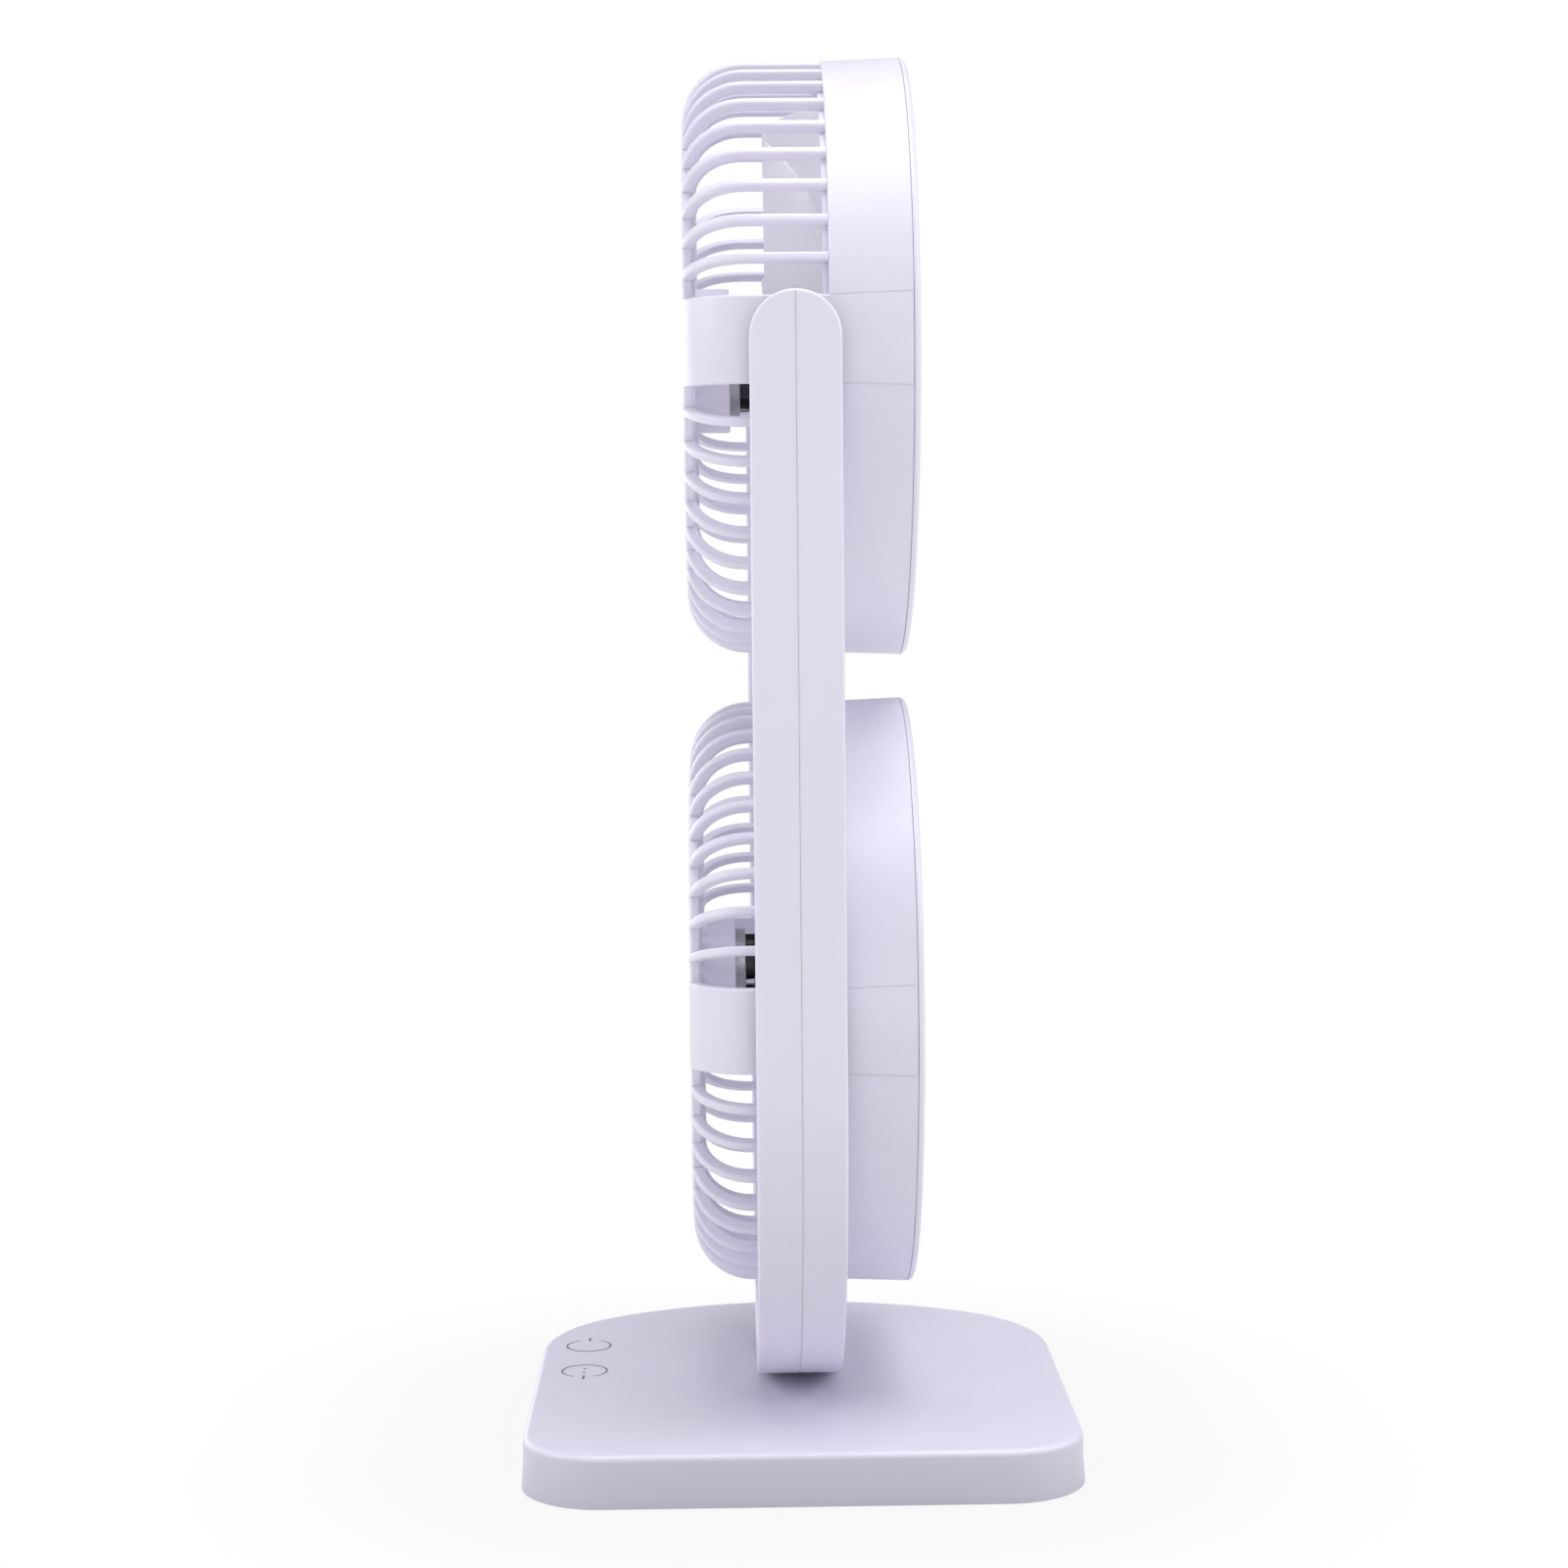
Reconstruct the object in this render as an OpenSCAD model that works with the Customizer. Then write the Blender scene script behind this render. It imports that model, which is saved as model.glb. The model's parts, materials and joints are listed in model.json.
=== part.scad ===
// Desk fan with two round heads, one above the other, in a U-shaped yoke on a low base.
// +Z is up, the heads blow towards -Y, and the origin is on the table under the yoke.

/* [Base] */
// Length of the base in front of the swivel, towards +X, to its straight edge
base_straight_reach = 86; // [78:1:96]
// Length of the base on the other side, to the crown of its bowed edge
base_bow_reach = 72; // [66:1:80]
// Half the depth of the base, front to back
base_half_depth = 72; // [64:1:80]
// Height of the base shell
base_h = 13.4; // [12.5:0.1:17]
// Gap that the rubber feet hold under the shell
foot_gap = 0.6; // [0.4:0.1:2]
// Wall of the base shell
base_wall = 2.2; // [1.8:0.1:3]
// Rounding of the base's top edge
base_edge_r = 1.6; // [0.8:0.1:2.4]
// Corner radius beside the straight edge
base_corner_r = 21; // [14:1:30]
// Radius of the bowed edge
base_bow_r = 95; // [88:1:110]
// Corner radius where the bowed edge meets the long sides
base_bow_corner_r = 45; // [30:1:50]
// Flare of the base wall at its foot
base_flare = 0.5; // [0:0.1:1.5]
// Thickness of the steel ballast plate
ballast_t = 3; // [2:0.1:3.4]

/* [Swivel] */
// Gap between the base and the yoke, which the swivel washer fills
swivel_gap = 0.8; // [0.6:0.1:4]
// Outer radius of the swivel post
post_r = 6; // [5:0.1:7]
// Radius of the cable way through the swivel post
post_bore_r = 3.8; // [3:0.1:4.2]
// Outer radius of the swivel washer
swivel_washer_r = 8.2; // [7.5:0.1:10]

/* [Yoke] */
// Half the width across the two arms
yoke_half_w = 90; // [88:0.5:96]
// Thickness of an arm
arm_t = 7; // [6:0.1:8]
// Width of an arm, front to back
arm_w = 22.6; // [20:0.1:25]
// Half the length of the flat floor between the two bends at the foot of the yoke
yoke_floor_half = 1; // [0.5:0.5:29]
// Wall of the yoke shells
yoke_wall = 1.7; // [1.4:0.1:2]
// Bevel along the outer edges of the arms
arm_bevel = 0.9; // [0.4:0.1:1.2]
// Height of the yoke's arms from the centre of its bend to the lower pivot
lower_pivot_rise = 15.5; // [8:0.1:30]
// Gap between the two heads, rim to rim
head_gap = 12; // [11:0.5:25]

/* [Fan heads] */
// Gap between a head's rear rim and the arm beside it
head_side_gap = 3; // [2.5:0.1:5]
// How much a head's radius grows from the cage to its rear rim
head_taper = 0.8; // [0.6:0.1:2]
// Front face of a head, ahead of its pivot
head_front = 28; // [26:0.5:30]
// Where the closed casing starts, behind the pivot
casing_front = 8.6; // [8.2:0.1:10]
// Where the rear cover starts, behind the pivot
casing_rear = 29.4; // [28:0.1:32]
// Thickness of the rear cover
rear_cover_t = 1.6; // [1.2:0.1:2.4]
// Wall of the casing
casing_wall = 2.4; // [1.8:0.1:2.8]
// Half the height of the smooth side panel at each pivot
panel_half_h = 10.8; // [9.5:0.1:12]
// How much the side panel widens towards the rear rim
panel_flare = 0.7; // [0:0.1:1.5]

/* [Grille] */
// Number of rib places round the cage
rib_count = 48; // [36:4:56]
// Thickness of a rib
rib_t = 2.3; // [1.6:0.1:2.6]
// Depth of a rib, square to the surface of the cage
rib_depth = 3; // [2.4:0.1:3.4]
// Radius of the cage's rounded front corner
cage_corner_r = 16; // [12:0.5:18]
// Radius of the inner ring, where every other rib stops
mid_ring_r = 42; // [34:1:50]
// Width of the grille's rings
ring_w = 2.4; // [1.8:0.1:3]
// Outer radius of the motor cup in the middle of the grille
cup_r = 19.4; // [19:0.1:22]
// Depth of the motor cup behind the front face
cup_depth = 12; // [10:0.5:14]

/* [Impeller] */
// Number of blades
blade_count = 7; // [5:1:9]
// Gap between the blade tips and the bore of the casing
blade_tip_gap = 10.3; // [9:0.1:16]
// Radius of the impeller's hub
impeller_hub_r = 18; // [16:0.5:22]
// Thickness of a blade
blade_t = 1.5; // [1.2:0.1:2]
// Length of the impeller along its axis
impeller_len = 24; // [16:0.5:28]
// Where the impeller starts, ahead of the pivot
impeller_front = 6.6; // [6:0.2:8]

/* [Motor] */
// Outer radius of the motor can
motor_r = 16.6; // [15:0.1:17]
// Radius of the motor shaft
shaft_r = 1.5; // [1:0.1:2]

/* [Pivots] */
// Outer radius of the hollow tilt pins
pin_r = 5; // [4:0.1:5.5]
// Running clearance of every pin in its bush, on the radius
running_gap = 0.05; // [0.02:0.01:0.09]
// Gap where two mouldings meet
seam = 0.1; // [0.05:0.01:0.2]

/* [Hidden] */
$fn = 96;

// Colours, as the photograph shows them
shell_white = [0.93, 0.92, 0.96];
blade_white = [0.96, 0.96, 0.98];
steel = [0.62, 0.63, 0.66];
dark_iron = [0.3, 0.3, 0.32];
coil_black = [0.1, 0.1, 0.11];
rubber_grey = [0.2, 0.2, 0.21];
copper_red = [0.72, 0.42, 0.25];
board_green = [0.12, 0.35, 0.2];

// Heights of the base
base_bottom = foot_gap;
base_top = foot_gap + base_h;
plate_t = 2;
plate_top = base_bottom + plate_t;
cavity_top = base_top - base_wall;
ballast_top = plate_top + seam + ballast_t;
bare_gap = 0.05;

// Heights of the yoke and its pivots
yoke_bottom = base_top + swivel_gap;
arm_half = arm_w / 2;
arm_inner_x = yoke_half_w - arm_t;
head_r = arm_inner_x - head_side_gap;
yoke_bend_r = yoke_half_w - yoke_floor_half;
floor_half = yoke_floor_half;
bend_z = yoke_bottom + yoke_bend_r;
lower_z = bend_z + lower_pivot_rise;
upper_z = lower_z + 2 * head_r + head_gap;
cavity_half = arm_half - yoke_wall;
arm_mid_x = yoke_half_w - arm_t / 2;
bend_mid_r = yoke_bend_r - arm_t / 2;

// Swivel post's flange, in a flat seat cut in the yoke's floor, and the loom that passes over it
flange_r = post_r + 1.8;
flange_t = 0.9;
seat_z = yoke_bottom + yoke_wall;
loom_r = min(1.1, (arm_t - 2 * yoke_wall - flange_t - 0.2) / 2);
loom_y = cavity_half - loom_r - 0.15;

// Pivots
bush_r = min(pin_r + 2, loom_y - loom_r - 0.2);
bush_out_x = yoke_half_w - yoke_wall - seam;
pin_grip = 5.2;
pin_wall = 1.8;
pin_in_x = head_r - head_taper - rib_depth - pin_grip;
pin_out_x = bush_out_x - 2 * seam;
boss_r = pin_r + 3;
washer_r = boss_r + 0.6;

// Cage and casing. The spigot under the ends of the ribs fits the bore of the casing.
cage_r = head_r - head_taper;
inner_r = cage_r - rib_depth;
outer_ring_r = cage_r - cage_corner_r + ring_w;
casing_bore_r = cage_r - casing_wall;
spigot_r = casing_bore_r - seam;
spigot_w = 2;
spigot_ahead = 3;
spigot_in = 2.9;
casing_boss_r = 3.2;
casing_boss_set = 6;
bolt_circle_r = casing_bore_r - casing_boss_r - 1;
blade_tip_r = casing_bore_r - blade_tip_gap;
rib_angle = 360 / rib_count;
panel_angle = asin((panel_half_h + rib_t) / cage_r);

// Small fixings
screw_r = 1.25;
screw_head_r = 2.6;
screw_head_t = 0.9;
screw_play = 0.1;
slot_w = 0.6;
slot_reach = 1.5;
slot_depth = 0.4;
// A cross recess, sunk from the head's face at z 0
module cross_recess(reach, w, depth) {
  translate([-w / 2, -reach, -depth]) cube([w, 2 * reach, 2 * depth]);
  translate([-reach, -w / 2, -depth]) cube([2 * reach, w, 2 * depth]);
}

function arc(cx, cy, r, from, to, steps) =
  [for (i = [0 : steps]) let (a = from + (to - from) * i / steps) [cx + r * cos(a), cy + r * sin(a)]];

function inner_points(points) = [for (i = [1 : len(points) - 2]) points[i]];

// Outline of the base, drawn in by a distance, anticlockwise from the straight edge
bow_cx = base_bow_r - base_bow_reach;
bow_corner_cy = base_half_depth - base_bow_corner_r;
bow_corner_cx = bow_cx - sqrt(pow(base_bow_r - base_bow_corner_r, 2) - pow(bow_corner_cy, 2));
bow_corner_a = atan2(bow_corner_cy, bow_corner_cx - bow_cx);
corner_cx = base_straight_reach - base_corner_r;
corner_cy = base_half_depth - base_corner_r;
function base_outline(inset) = concat(
  arc(corner_cx, corner_cy, base_corner_r - inset, 0, 90, 10),
  arc(bow_corner_cx, bow_corner_cy, base_bow_corner_r - inset, 90, bow_corner_a, 8),
  inner_points(arc(bow_cx, 0, base_bow_r - inset, bow_corner_a, 360 - bow_corner_a, 16)),
  arc(bow_corner_cx, -bow_corner_cy, base_bow_corner_r - inset, 360 - bow_corner_a, 270, 8),
  arc(corner_cx, -corner_cy, base_corner_r - inset, 270, 360, 10));

// A closed solid through outlines that have the same number of points. Flat ends are one face
// each; curved ends are a strip between the outline's first and second half.
module loft(rings, curved_ends = false) {
  n = len(rings[0]);
  m = len(rings);
  top = (m - 1) * n;
  polyhedron(
    points = [for (r = rings) for (p = r) p],
    faces = concat(
      curved_ends ? [for (i = [0 : n / 2 - 2]) each [[i, i + 1, n - 2 - i], [i, n - 2 - i, n - 1 - i]]]
        : [[for (i = [0 : n - 1]) i]],
      [for (k = [0 : m - 2]) for (i = [0 : n - 1]) [k * n + i, (k + 1) * n + i, k * n + (i + 1) % n]],
      [for (k = [0 : m - 2]) for (i = [0 : n - 1])
        [k * n + (i + 1) % n, (k + 1) * n + i, (k + 1) * n + (i + 1) % n]],
      curved_ends ? [for (i = [0 : n / 2 - 2])
          each [[top + i, top + n - 2 - i, top + i + 1], [top + i, top + n - 1 - i, top + n - 2 - i]]]
        : [[for (i = [n - 1 : -1 : 0]) top + i]]));
}
function base_ring(inset, z) = [for (p = base_outline(inset)) [p[0], p[1], z]];

// Turns a shape that stands on +Z so that it runs along +Y, which is towards the rear
module along_y() { rotate([-90, 0, 0]) children(); }
module along_x() { rotate([0, 90, 0]) children(); }
module on_sides() {
  children();
  mirror([1, 0, 0]) children();
}
module ring(r_out, r_in, h) {
  difference() {
    cylinder(r = r_out, h = h);
    translate([0, 0, -1]) cylinder(r = r_in, h = h + 2);
  }
}

// Base: a moulded cover with a vertical wall, open below
touch_x = [-22, 5];
touch_y = 13 - base_half_depth;
mark_r = 6.2;
mark_w = 0.9;
mark_depth = 0.35;
mark_gap_a = 24;
mark_bar = 3.6;
dot_r = 0.63;
dot_pitch = 4;
screw_near = [base_straight_reach - 16, base_half_depth - 20];
screw_far = [22 - base_bow_reach, base_half_depth - 26];
function both_sides(p) = [p, [p[0], -p[1]]];
screw_spots = concat(both_sides(screw_near), both_sides(screw_far));
boss_out_r = 4;
screw_skin = 1.5;
swivel_boss_r = 12;
swivel_boss_len = 2.6;
swivel_boss_z = cavity_top - swivel_boss_len;
usb_w = 9.2;
usb_h = 3.4;
usb_z = plate_top + 4.3;
usb_x = -10;

module base_shell() {
  loft([
    base_ring(-base_flare, base_bottom),
    base_ring(0, base_bottom + base_h / 2),
    base_ring(0, base_top - base_edge_r),
    for (a = [22.5 : 22.5 : 90])
      base_ring(base_edge_r * (1 - cos(a)), base_top - base_edge_r * (1 - sin(a)))
  ]);
}
module mark_shape(side, z, h, grow) {
  // A ring open on one side, with a short bar in the opening
  translate([0, 0, z])
    rotate([0, 0, side > 0 ? mark_gap_a : 180 + mark_gap_a])
      rotate_extrude(angle = 360 - 2 * mark_gap_a)
        translate([mark_r - mark_w / 2 - grow, 0]) square([mark_w + 2 * grow, h]);
  translate([side * (mark_r - mark_bar / 3 - grow), -mark_w / 2 - grow, z])
    mirror([side > 0 ? 0 : 1, 0, 0]) cube([mark_bar + 2 * grow, mark_w + 2 * grow, h]);
}
module touch_shapes(z, h, grow) {
  for (i = [0, 1])
    translate([touch_x[i], touch_y, 0]) mark_shape(i == 0 ? -1 : 1, z, h, grow);
  for (d = [-1, 1])
    translate([touch_x[1] + d * dot_pitch / 2, touch_y, z]) cylinder(r = dot_r + grow, h = h, $fn = 24);
}
module base_top_cover() color(shell_white) {
  difference() {
    union() {
      difference() {
        base_shell();
        translate([0, 0, base_bottom - 1])
          linear_extrude(cavity_top - base_bottom + 1) polygon(base_outline(base_wall));
      }
      translate([0, 0, swivel_boss_z]) cylinder(r = swivel_boss_r, h = swivel_boss_len + 0.5);
      for (s = screw_spots)
        translate([s[0], s[1], plate_top + seam])
          cylinder(r = boss_out_r, h = cavity_top - plate_top, $fn = 32);
    }
    translate([0, 0, base_bottom]) cylinder(r = post_r + running_gap, h = base_h + 1);
    for (s = screw_spots)
      translate([s[0], s[1], base_bottom])
        cylinder(r = screw_r, h = cavity_top - base_bottom - screw_skin, $fn = 24);
    translate([usb_x - usb_w / 2, base_half_depth - 3 * base_wall, usb_z - usb_h / 2])
      cube([usb_w, 4 * base_wall, usb_h]);
    touch_shapes(base_top - mark_depth, 1, 0);
  }
}
module base_bottom_plate() color(shell_white) {
  difference() {
    translate([0, 0, base_bottom])
      linear_extrude(plate_t) polygon(base_outline(base_wall + plate_play));
    for (s = screw_spots) {
      translate([s[0], s[1], base_bottom - 1]) cylinder(r = screw_r + 0.2, h = plate_t + 2, $fn = 24);
      translate([s[0], s[1], base_bottom - 1])
        cylinder(r = screw_head_r + screw_play, h = 1 + screw_seat, $fn = 32);
    }
    for (f = foot_spots) translate([f[0], f[1], base_bottom - 1])
      cylinder(r = foot_r + bare_gap, h = 1 + foot_sunk);
  }
}
plate_play = 0.25;
screw_seat = 1;
foot_near = [base_straight_reach - 28, base_half_depth - 16];
foot_far = [38 - base_bow_reach, base_half_depth - 18];
foot_spots = concat(both_sides(foot_near), both_sides(foot_far));
foot_r = 6;
foot_sunk = 0.8;
module rubber_feet() color(rubber_grey)
  for (f = foot_spots) translate([f[0], f[1], 0])
    union() {
      cylinder(r1 = foot_r - foot_gap, r2 = foot_r, h = foot_gap);
      translate([0, 0, foot_gap]) cylinder(r = foot_r, h = foot_sunk);
    }
module base_screws() color(steel)
  for (s = screw_spots) translate([s[0], s[1], base_bottom]) {
    translate([0, 0, screw_seat - screw_head_t]) difference() {
      cylinder(r = screw_head_r, h = screw_head_t, $fn = 32);
      cross_recess(slot_reach, slot_w, slot_depth);
    }
    translate([0, 0, screw_seat]) cylinder(r = screw_r, h = base_screw_len, $fn = 24);
  }
base_screw_len = cavity_top - base_bottom - screw_skin - screw_seat - 0.7;
ballast_x = [28 - base_bow_reach, base_straight_reach - 24];
ballast_y = base_half_depth - 32;
ballast_bore_r = post_r + 9;
module ballast_plate() color(steel)
  translate([0, 0, plate_top + seam]) difference() {
    translate([ballast_x[0], -ballast_y, 0])
      cube([ballast_x[1] - ballast_x[0], 2 * ballast_y, ballast_t]);
    translate([0, 0, -1]) cylinder(r = ballast_bore_r, h = ballast_t + 2);
  }
battery_at = [16, 2];
battery_t = min(5.6, cavity_top - ballast_top - 2 * seam);
battery_notch = [1.6, 10];
battery_seal = 2;
module battery_pack() color([0.75, 0.76, 0.8])
  translate([battery_at[0], battery_at[1], ballast_top + seam]) {
    size = [ballast_x[1] - battery_at[0], ballast_y - 6];
    difference() {
      cube([size[0], size[1], battery_t]);
      translate([-1, (size[1] - battery_notch[1]) / 2, battery_seal])
        cube([1 + battery_notch[0], battery_notch[1], battery_t]);
    }
  }
board_t = 1.6;
board_at = [-32, 2 - ballast_y, ballast_top + seam];
board_size = [52, 21];
board_hole_r = 1.2;
board_hole_in = [3, 4];
chip = [8, 8, 1.2];
regulator = [5, 5, 1];
resistor = [2.4, 1.4, 0.8];
resistor_pitch = 4;
module control_board() color(board_green)
  translate(board_at) {
    difference() {
      cube([board_size[0], board_size[1], board_t]);
      for (x = [board_hole_in[0], board_size[0] - board_hole_in[0]])
        translate([x, board_hole_in[1], -1]) cylinder(r = board_hole_r, h = board_t + 2, $fn = 24);
    }
    translate([chip[0], chip[1] - 1, board_t]) cube(chip);
    translate([board_size[0] / 2 - 4, regulator[1], board_t]) cube(regulator);
    for (i = [0 : 3])
      translate([board_size[0] / 2 + 4 + resistor_pitch * i, board_size[1] / 2 + 2, board_t]) cube(resistor);
  }
usb_board_size = [18, 16.6];
usb_board_gap = 0.4;
usb_board_y = base_half_depth - base_wall - usb_board_gap - usb_board_size[1];
usb_board_z = usb_z - usb_h / 2 - board_t;
usb_pillar_r = 1.8;
module usb_board() color(board_green) {
  translate([usb_x - usb_board_size[0] / 2, usb_board_y, usb_board_z])
    cube([usb_board_size[0], usb_board_size[1], board_t]);
  for (x = [-1, 1])
    translate([usb_x + x * usb_board_size[0] / 3, usb_board_y + 2 * usb_pillar_r, plate_top])
      cylinder(r = usb_pillar_r, h = usb_board_z - plate_top, $fn = 24);
}
socket_len = 9.4;
socket_inset = 0.4;
socket_wall = 0.5;
module usb_socket() color(steel)
  translate([usb_x - usb_w / 2 + seam, base_half_depth - socket_inset - socket_len, usb_z - usb_h / 2])
    difference() {
      cube([usb_w - 2 * seam, socket_len, usb_h - seam]);
      translate([socket_wall, 4 * socket_wall, socket_wall])
        cube([usb_w - 2 * seam - 2 * socket_wall, socket_len, usb_h - seam - 2 * socket_wall]);
    }
pad_r = 5.5;
pad_t = 0.8;
pad_stem_r = 1.5;
module touch_pads() color(copper_red)
  for (x = touch_x) translate([x, touch_y, 0]) {
    translate([0, 0, cavity_top - seam - pad_t]) cylinder(r = pad_r, h = pad_t);
    translate([0, 0, plate_top])
      cylinder(r = pad_stem_r, h = cavity_top - seam - pad_t - plate_top, $fn = 24);
  }
mark_play = 0.04;
mark_proud = 0.03;
module touch_marks() color([0.35, 0.35, 0.4])
  touch_shapes(base_top - mark_depth, mark_depth + mark_proud, -mark_play);

// Swivel: a hollow post under the yoke, held in the base by a nut
nut_t = 2;
nut_r = post_r + 3.6;
nut_play = 0.15;
nut_z = swivel_boss_z - nut_play - nut_t;
post_end = 0.4;
module swivel_washer() color(rubber_grey)
  translate([0, 0, base_top]) ring(swivel_washer_r, post_r + running_gap, swivel_gap - bare_gap);
module swivel_post() color(shell_white) {
  difference() {
    union() {
      translate([0, 0, nut_z - post_end]) cylinder(r = post_r, h = seat_z + flange_t / 2 - nut_z + post_end);
      translate([0, 0, seat_z]) cylinder(r = flange_r, h = flange_t);
    }
    translate([0, 0, nut_z - 1]) cylinder(r = post_bore_r, h = 40);
  }
}
module swivel_nut() color(steel) translate([0, 0, nut_z]) ring(nut_r, post_r, nut_t);

// Yoke: section of one moulded half shell, seen along the arm.
// x runs from the outer face inwards, y from the front edge to the parting line.
function half_section(t) = [
  [0, 0], [0, -arm_half + arm_bevel], [arm_bevel, -arm_half],
  [t - arm_bevel, -arm_half], [t, -arm_half + arm_bevel], [t, 0],
  [t - yoke_wall, 0], [t - yoke_wall, -cavity_half], [yoke_wall, -cavity_half], [yoke_wall, 0]];
module half_yoke(points, tip) {
  on_sides() {
    translate([yoke_half_w, 0, bend_z]) mirror([1, 0, 0])
      linear_extrude(upper_z - bend_z) polygon(points);
    translate([floor_half, 0, bend_z]) bend(points);
    translate([yoke_half_w, 0, upper_z]) mirror([1, 0, 0]) along_x() rotate([0, 0, 180])
      rotate_extrude(angle = 90) polygon(tip);
  }
  translate([-floor_half, 0, yoke_bottom]) rotate([90, 0, 90])
    linear_extrude(2 * floor_half) polygon([for (p = points) [p[1], p[0]]]);
}
// A quarter turn from straight down to +X, of a section whose outer face is at the bend radius
module bend(points) {
  intersection() {
    rotate([90, 0, 0])
      rotate_extrude() polygon([for (p = points) [yoke_bend_r - p[0], -p[1]]]);
    translate([0, -arm_w, -yoke_bend_r - 1]) cube([yoke_bend_r + 1, 2 * arm_w, yoke_bend_r + 1]);
  }
}
tip_half = [
  [0, 0], [arm_half - arm_bevel, 0], [arm_half, arm_bevel],
  [arm_half, arm_t - arm_bevel], [arm_half - arm_bevel, arm_t], [0, arm_t],
  [0, arm_t - yoke_wall], [cavity_half, arm_t - yoke_wall], [cavity_half, yoke_wall], [0, yoke_wall]];

module front_half_yoke() half_yoke(half_section(arm_t), tip_half);
// The screws are all on the arm that has no wires; the other arm's halves are glued
yoke_screw_a = 42;
yoke_screw_inset = 30;
yoke_screw_spots = [
  [arm_mid_x, upper_z - yoke_screw_inset], [arm_mid_x, lower_z + yoke_screw_inset],
  [floor_half + bend_mid_r * cos(yoke_screw_a), bend_z - bend_mid_r * sin(yoke_screw_a)]];
yoke_boss_r = 1.75;
yoke_screw_r = 0.8;
yoke_screw_head_r = 1.6;
yoke_screw_grip = 6;
yoke_screw_head_t = 1;
fit_play = 0.02;
module bush_seats() {
  for (z = [lower_z, upper_z]) on_sides()
    translate([arm_inner_x - 1, 0, z]) along_x() cylinder(r = bush_r + fit_play, h = yoke_wall + 2);
}
module post_hole() {
  translate([0, 0, yoke_bottom - 1]) cylinder(r = post_r + fit_play, h = yoke_wall + 3);
  translate([0, 0, seat_z]) cylinder(r = flange_r + 0.4, h = 2);
}
module at_yoke_screws() {
  for (s = yoke_screw_spots) translate([s[0], 0, s[1]]) rotate([-90, 0, 0]) children();
}
module yoke_front_shell() color(shell_white) difference() {
  union() {
    front_half_yoke();
    mirror([0, 1, 0]) at_yoke_screws() cylinder(r = yoke_boss_r, h = cavity_half + 0.4, $fn = 24);
  }
  bush_seats();
  post_hole();
  at_yoke_screws() translate([0, 0, -yoke_screw_grip - 1])
    cylinder(r = yoke_screw_r, h = yoke_screw_grip + 2, $fn = 24);
}
module yoke_rear_shell() color(shell_white) difference() {
  union() {
    mirror([0, 1, 0]) front_half_yoke();
    at_yoke_screws() translate([0, 0, seam])
      cylinder(r = yoke_boss_r, h = cavity_half + 0.4, $fn = 24);
  }
  bush_seats();
  post_hole();
  at_yoke_screws() {
    translate([0, 0, -1]) cylinder(r = yoke_screw_r + screw_play, h = arm_w, $fn = 24);
    translate([0, 0, arm_half - yoke_wall]) cylinder(r = yoke_screw_head_r + screw_play, h = 5, $fn = 32);
  }
}
module yoke_screws() color(steel) at_yoke_screws() {
  translate([0, 0, -yoke_screw_grip])
    cylinder(r = yoke_screw_r, h = yoke_screw_grip + arm_half - yoke_wall + bare_gap + 0.1, $fn = 24);
  translate([0, 0, arm_half - yoke_wall + bare_gap]) difference() {
    cylinder(r = yoke_screw_head_r, h = yoke_screw_head_t, $fn = 32);
    translate([0, 0, yoke_screw_head_t]) cross_recess(1, slot_depth, slot_depth);
  }
}
// Wires: out of the swivel post, over its flange, and up inside one arm to the upper pivot
loom_in = [-(post_bore_r - loom_r - 0.2), 0, seat_z + flange_t + bare_gap + loom_r];
loom_bend_a = 9;
loom_turn = [-floor_half - bend_mid_r * sin(loom_bend_a), loom_y, bend_z - bend_mid_r * cos(loom_bend_a)];
module rod(from, to) {
  run = to - from;
  translate(from) rotate([0, acos(run[2] / norm(run)), atan2(run[1], run[0])])
    translate([0, 0, -loom_r / 2]) cylinder(r = loom_r - fit_play, h = norm(run) + loom_r, $fn = 24);
}
module wire_loom() color([0.15, 0.15, 0.17]) {
  rod([loom_in[0], 0, nut_z - 1], loom_in);
  rod(loom_in, loom_turn);
  translate([-floor_half, loom_y, bend_z]) rotate([90, 0, 0]) rotate([0, 0, 180])
    rotate_extrude(angle = 90 - loom_bend_a) translate([bend_mid_r, 0]) circle(r = loom_r, $fn = 24);
  translate([-arm_mid_x, loom_y, bend_z])
    cylinder(r = loom_r, h = upper_z - bend_z - bush_r - 2, $fn = 24);
}
module pivot_bushes() color([0.85, 0.85, 0.82])
  for (z = [lower_z, upper_z]) on_sides()
    translate([arm_inner_x, 0, z]) along_x()
      ring(bush_r, pin_r + running_gap, bush_out_x - arm_inner_x);
module pivot_washers() color(rubber_grey)
  for (z = [lower_z, upper_z]) on_sides()
    translate([cage_r + 3 * seam, 0, z]) along_x()
      ring(washer_r, pin_r + running_gap, arm_inner_x - cage_r - 4 * seam);

// Cage: the skin that ribs, rings and side panels are cut from, as r and y
module rounded_side(r, front, corner) {
  // From the axis out to r and from the front face back to the casing
  union() {
    translate([0, -front + corner]) square([r, front - corner + casing_front]);
    translate([0, -front]) square([r - corner, corner + 1]);
    translate([r - corner, -front + corner]) circle(r = corner);
  }
}
module cage_skin() {
  difference() {
    rounded_side(cage_r, head_front, cage_corner_r);
    translate([-1, 0]) rounded_side(inner_r + 1, head_front - rib_depth, cage_corner_r - rib_depth);
    translate([-1, casing_front]) square([cage_r + 5, 9]);
  }
}
panel_tail = [
  [-head_front - 1, panel_half_h], [casing_front, panel_half_h],
  [casing_rear, panel_half_h + panel_flare],
  [casing_rear, -panel_half_h - panel_flare], [casing_front, -panel_half_h],
  [-head_front - 1, -panel_half_h]];
tongue_t = 1.2;
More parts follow.
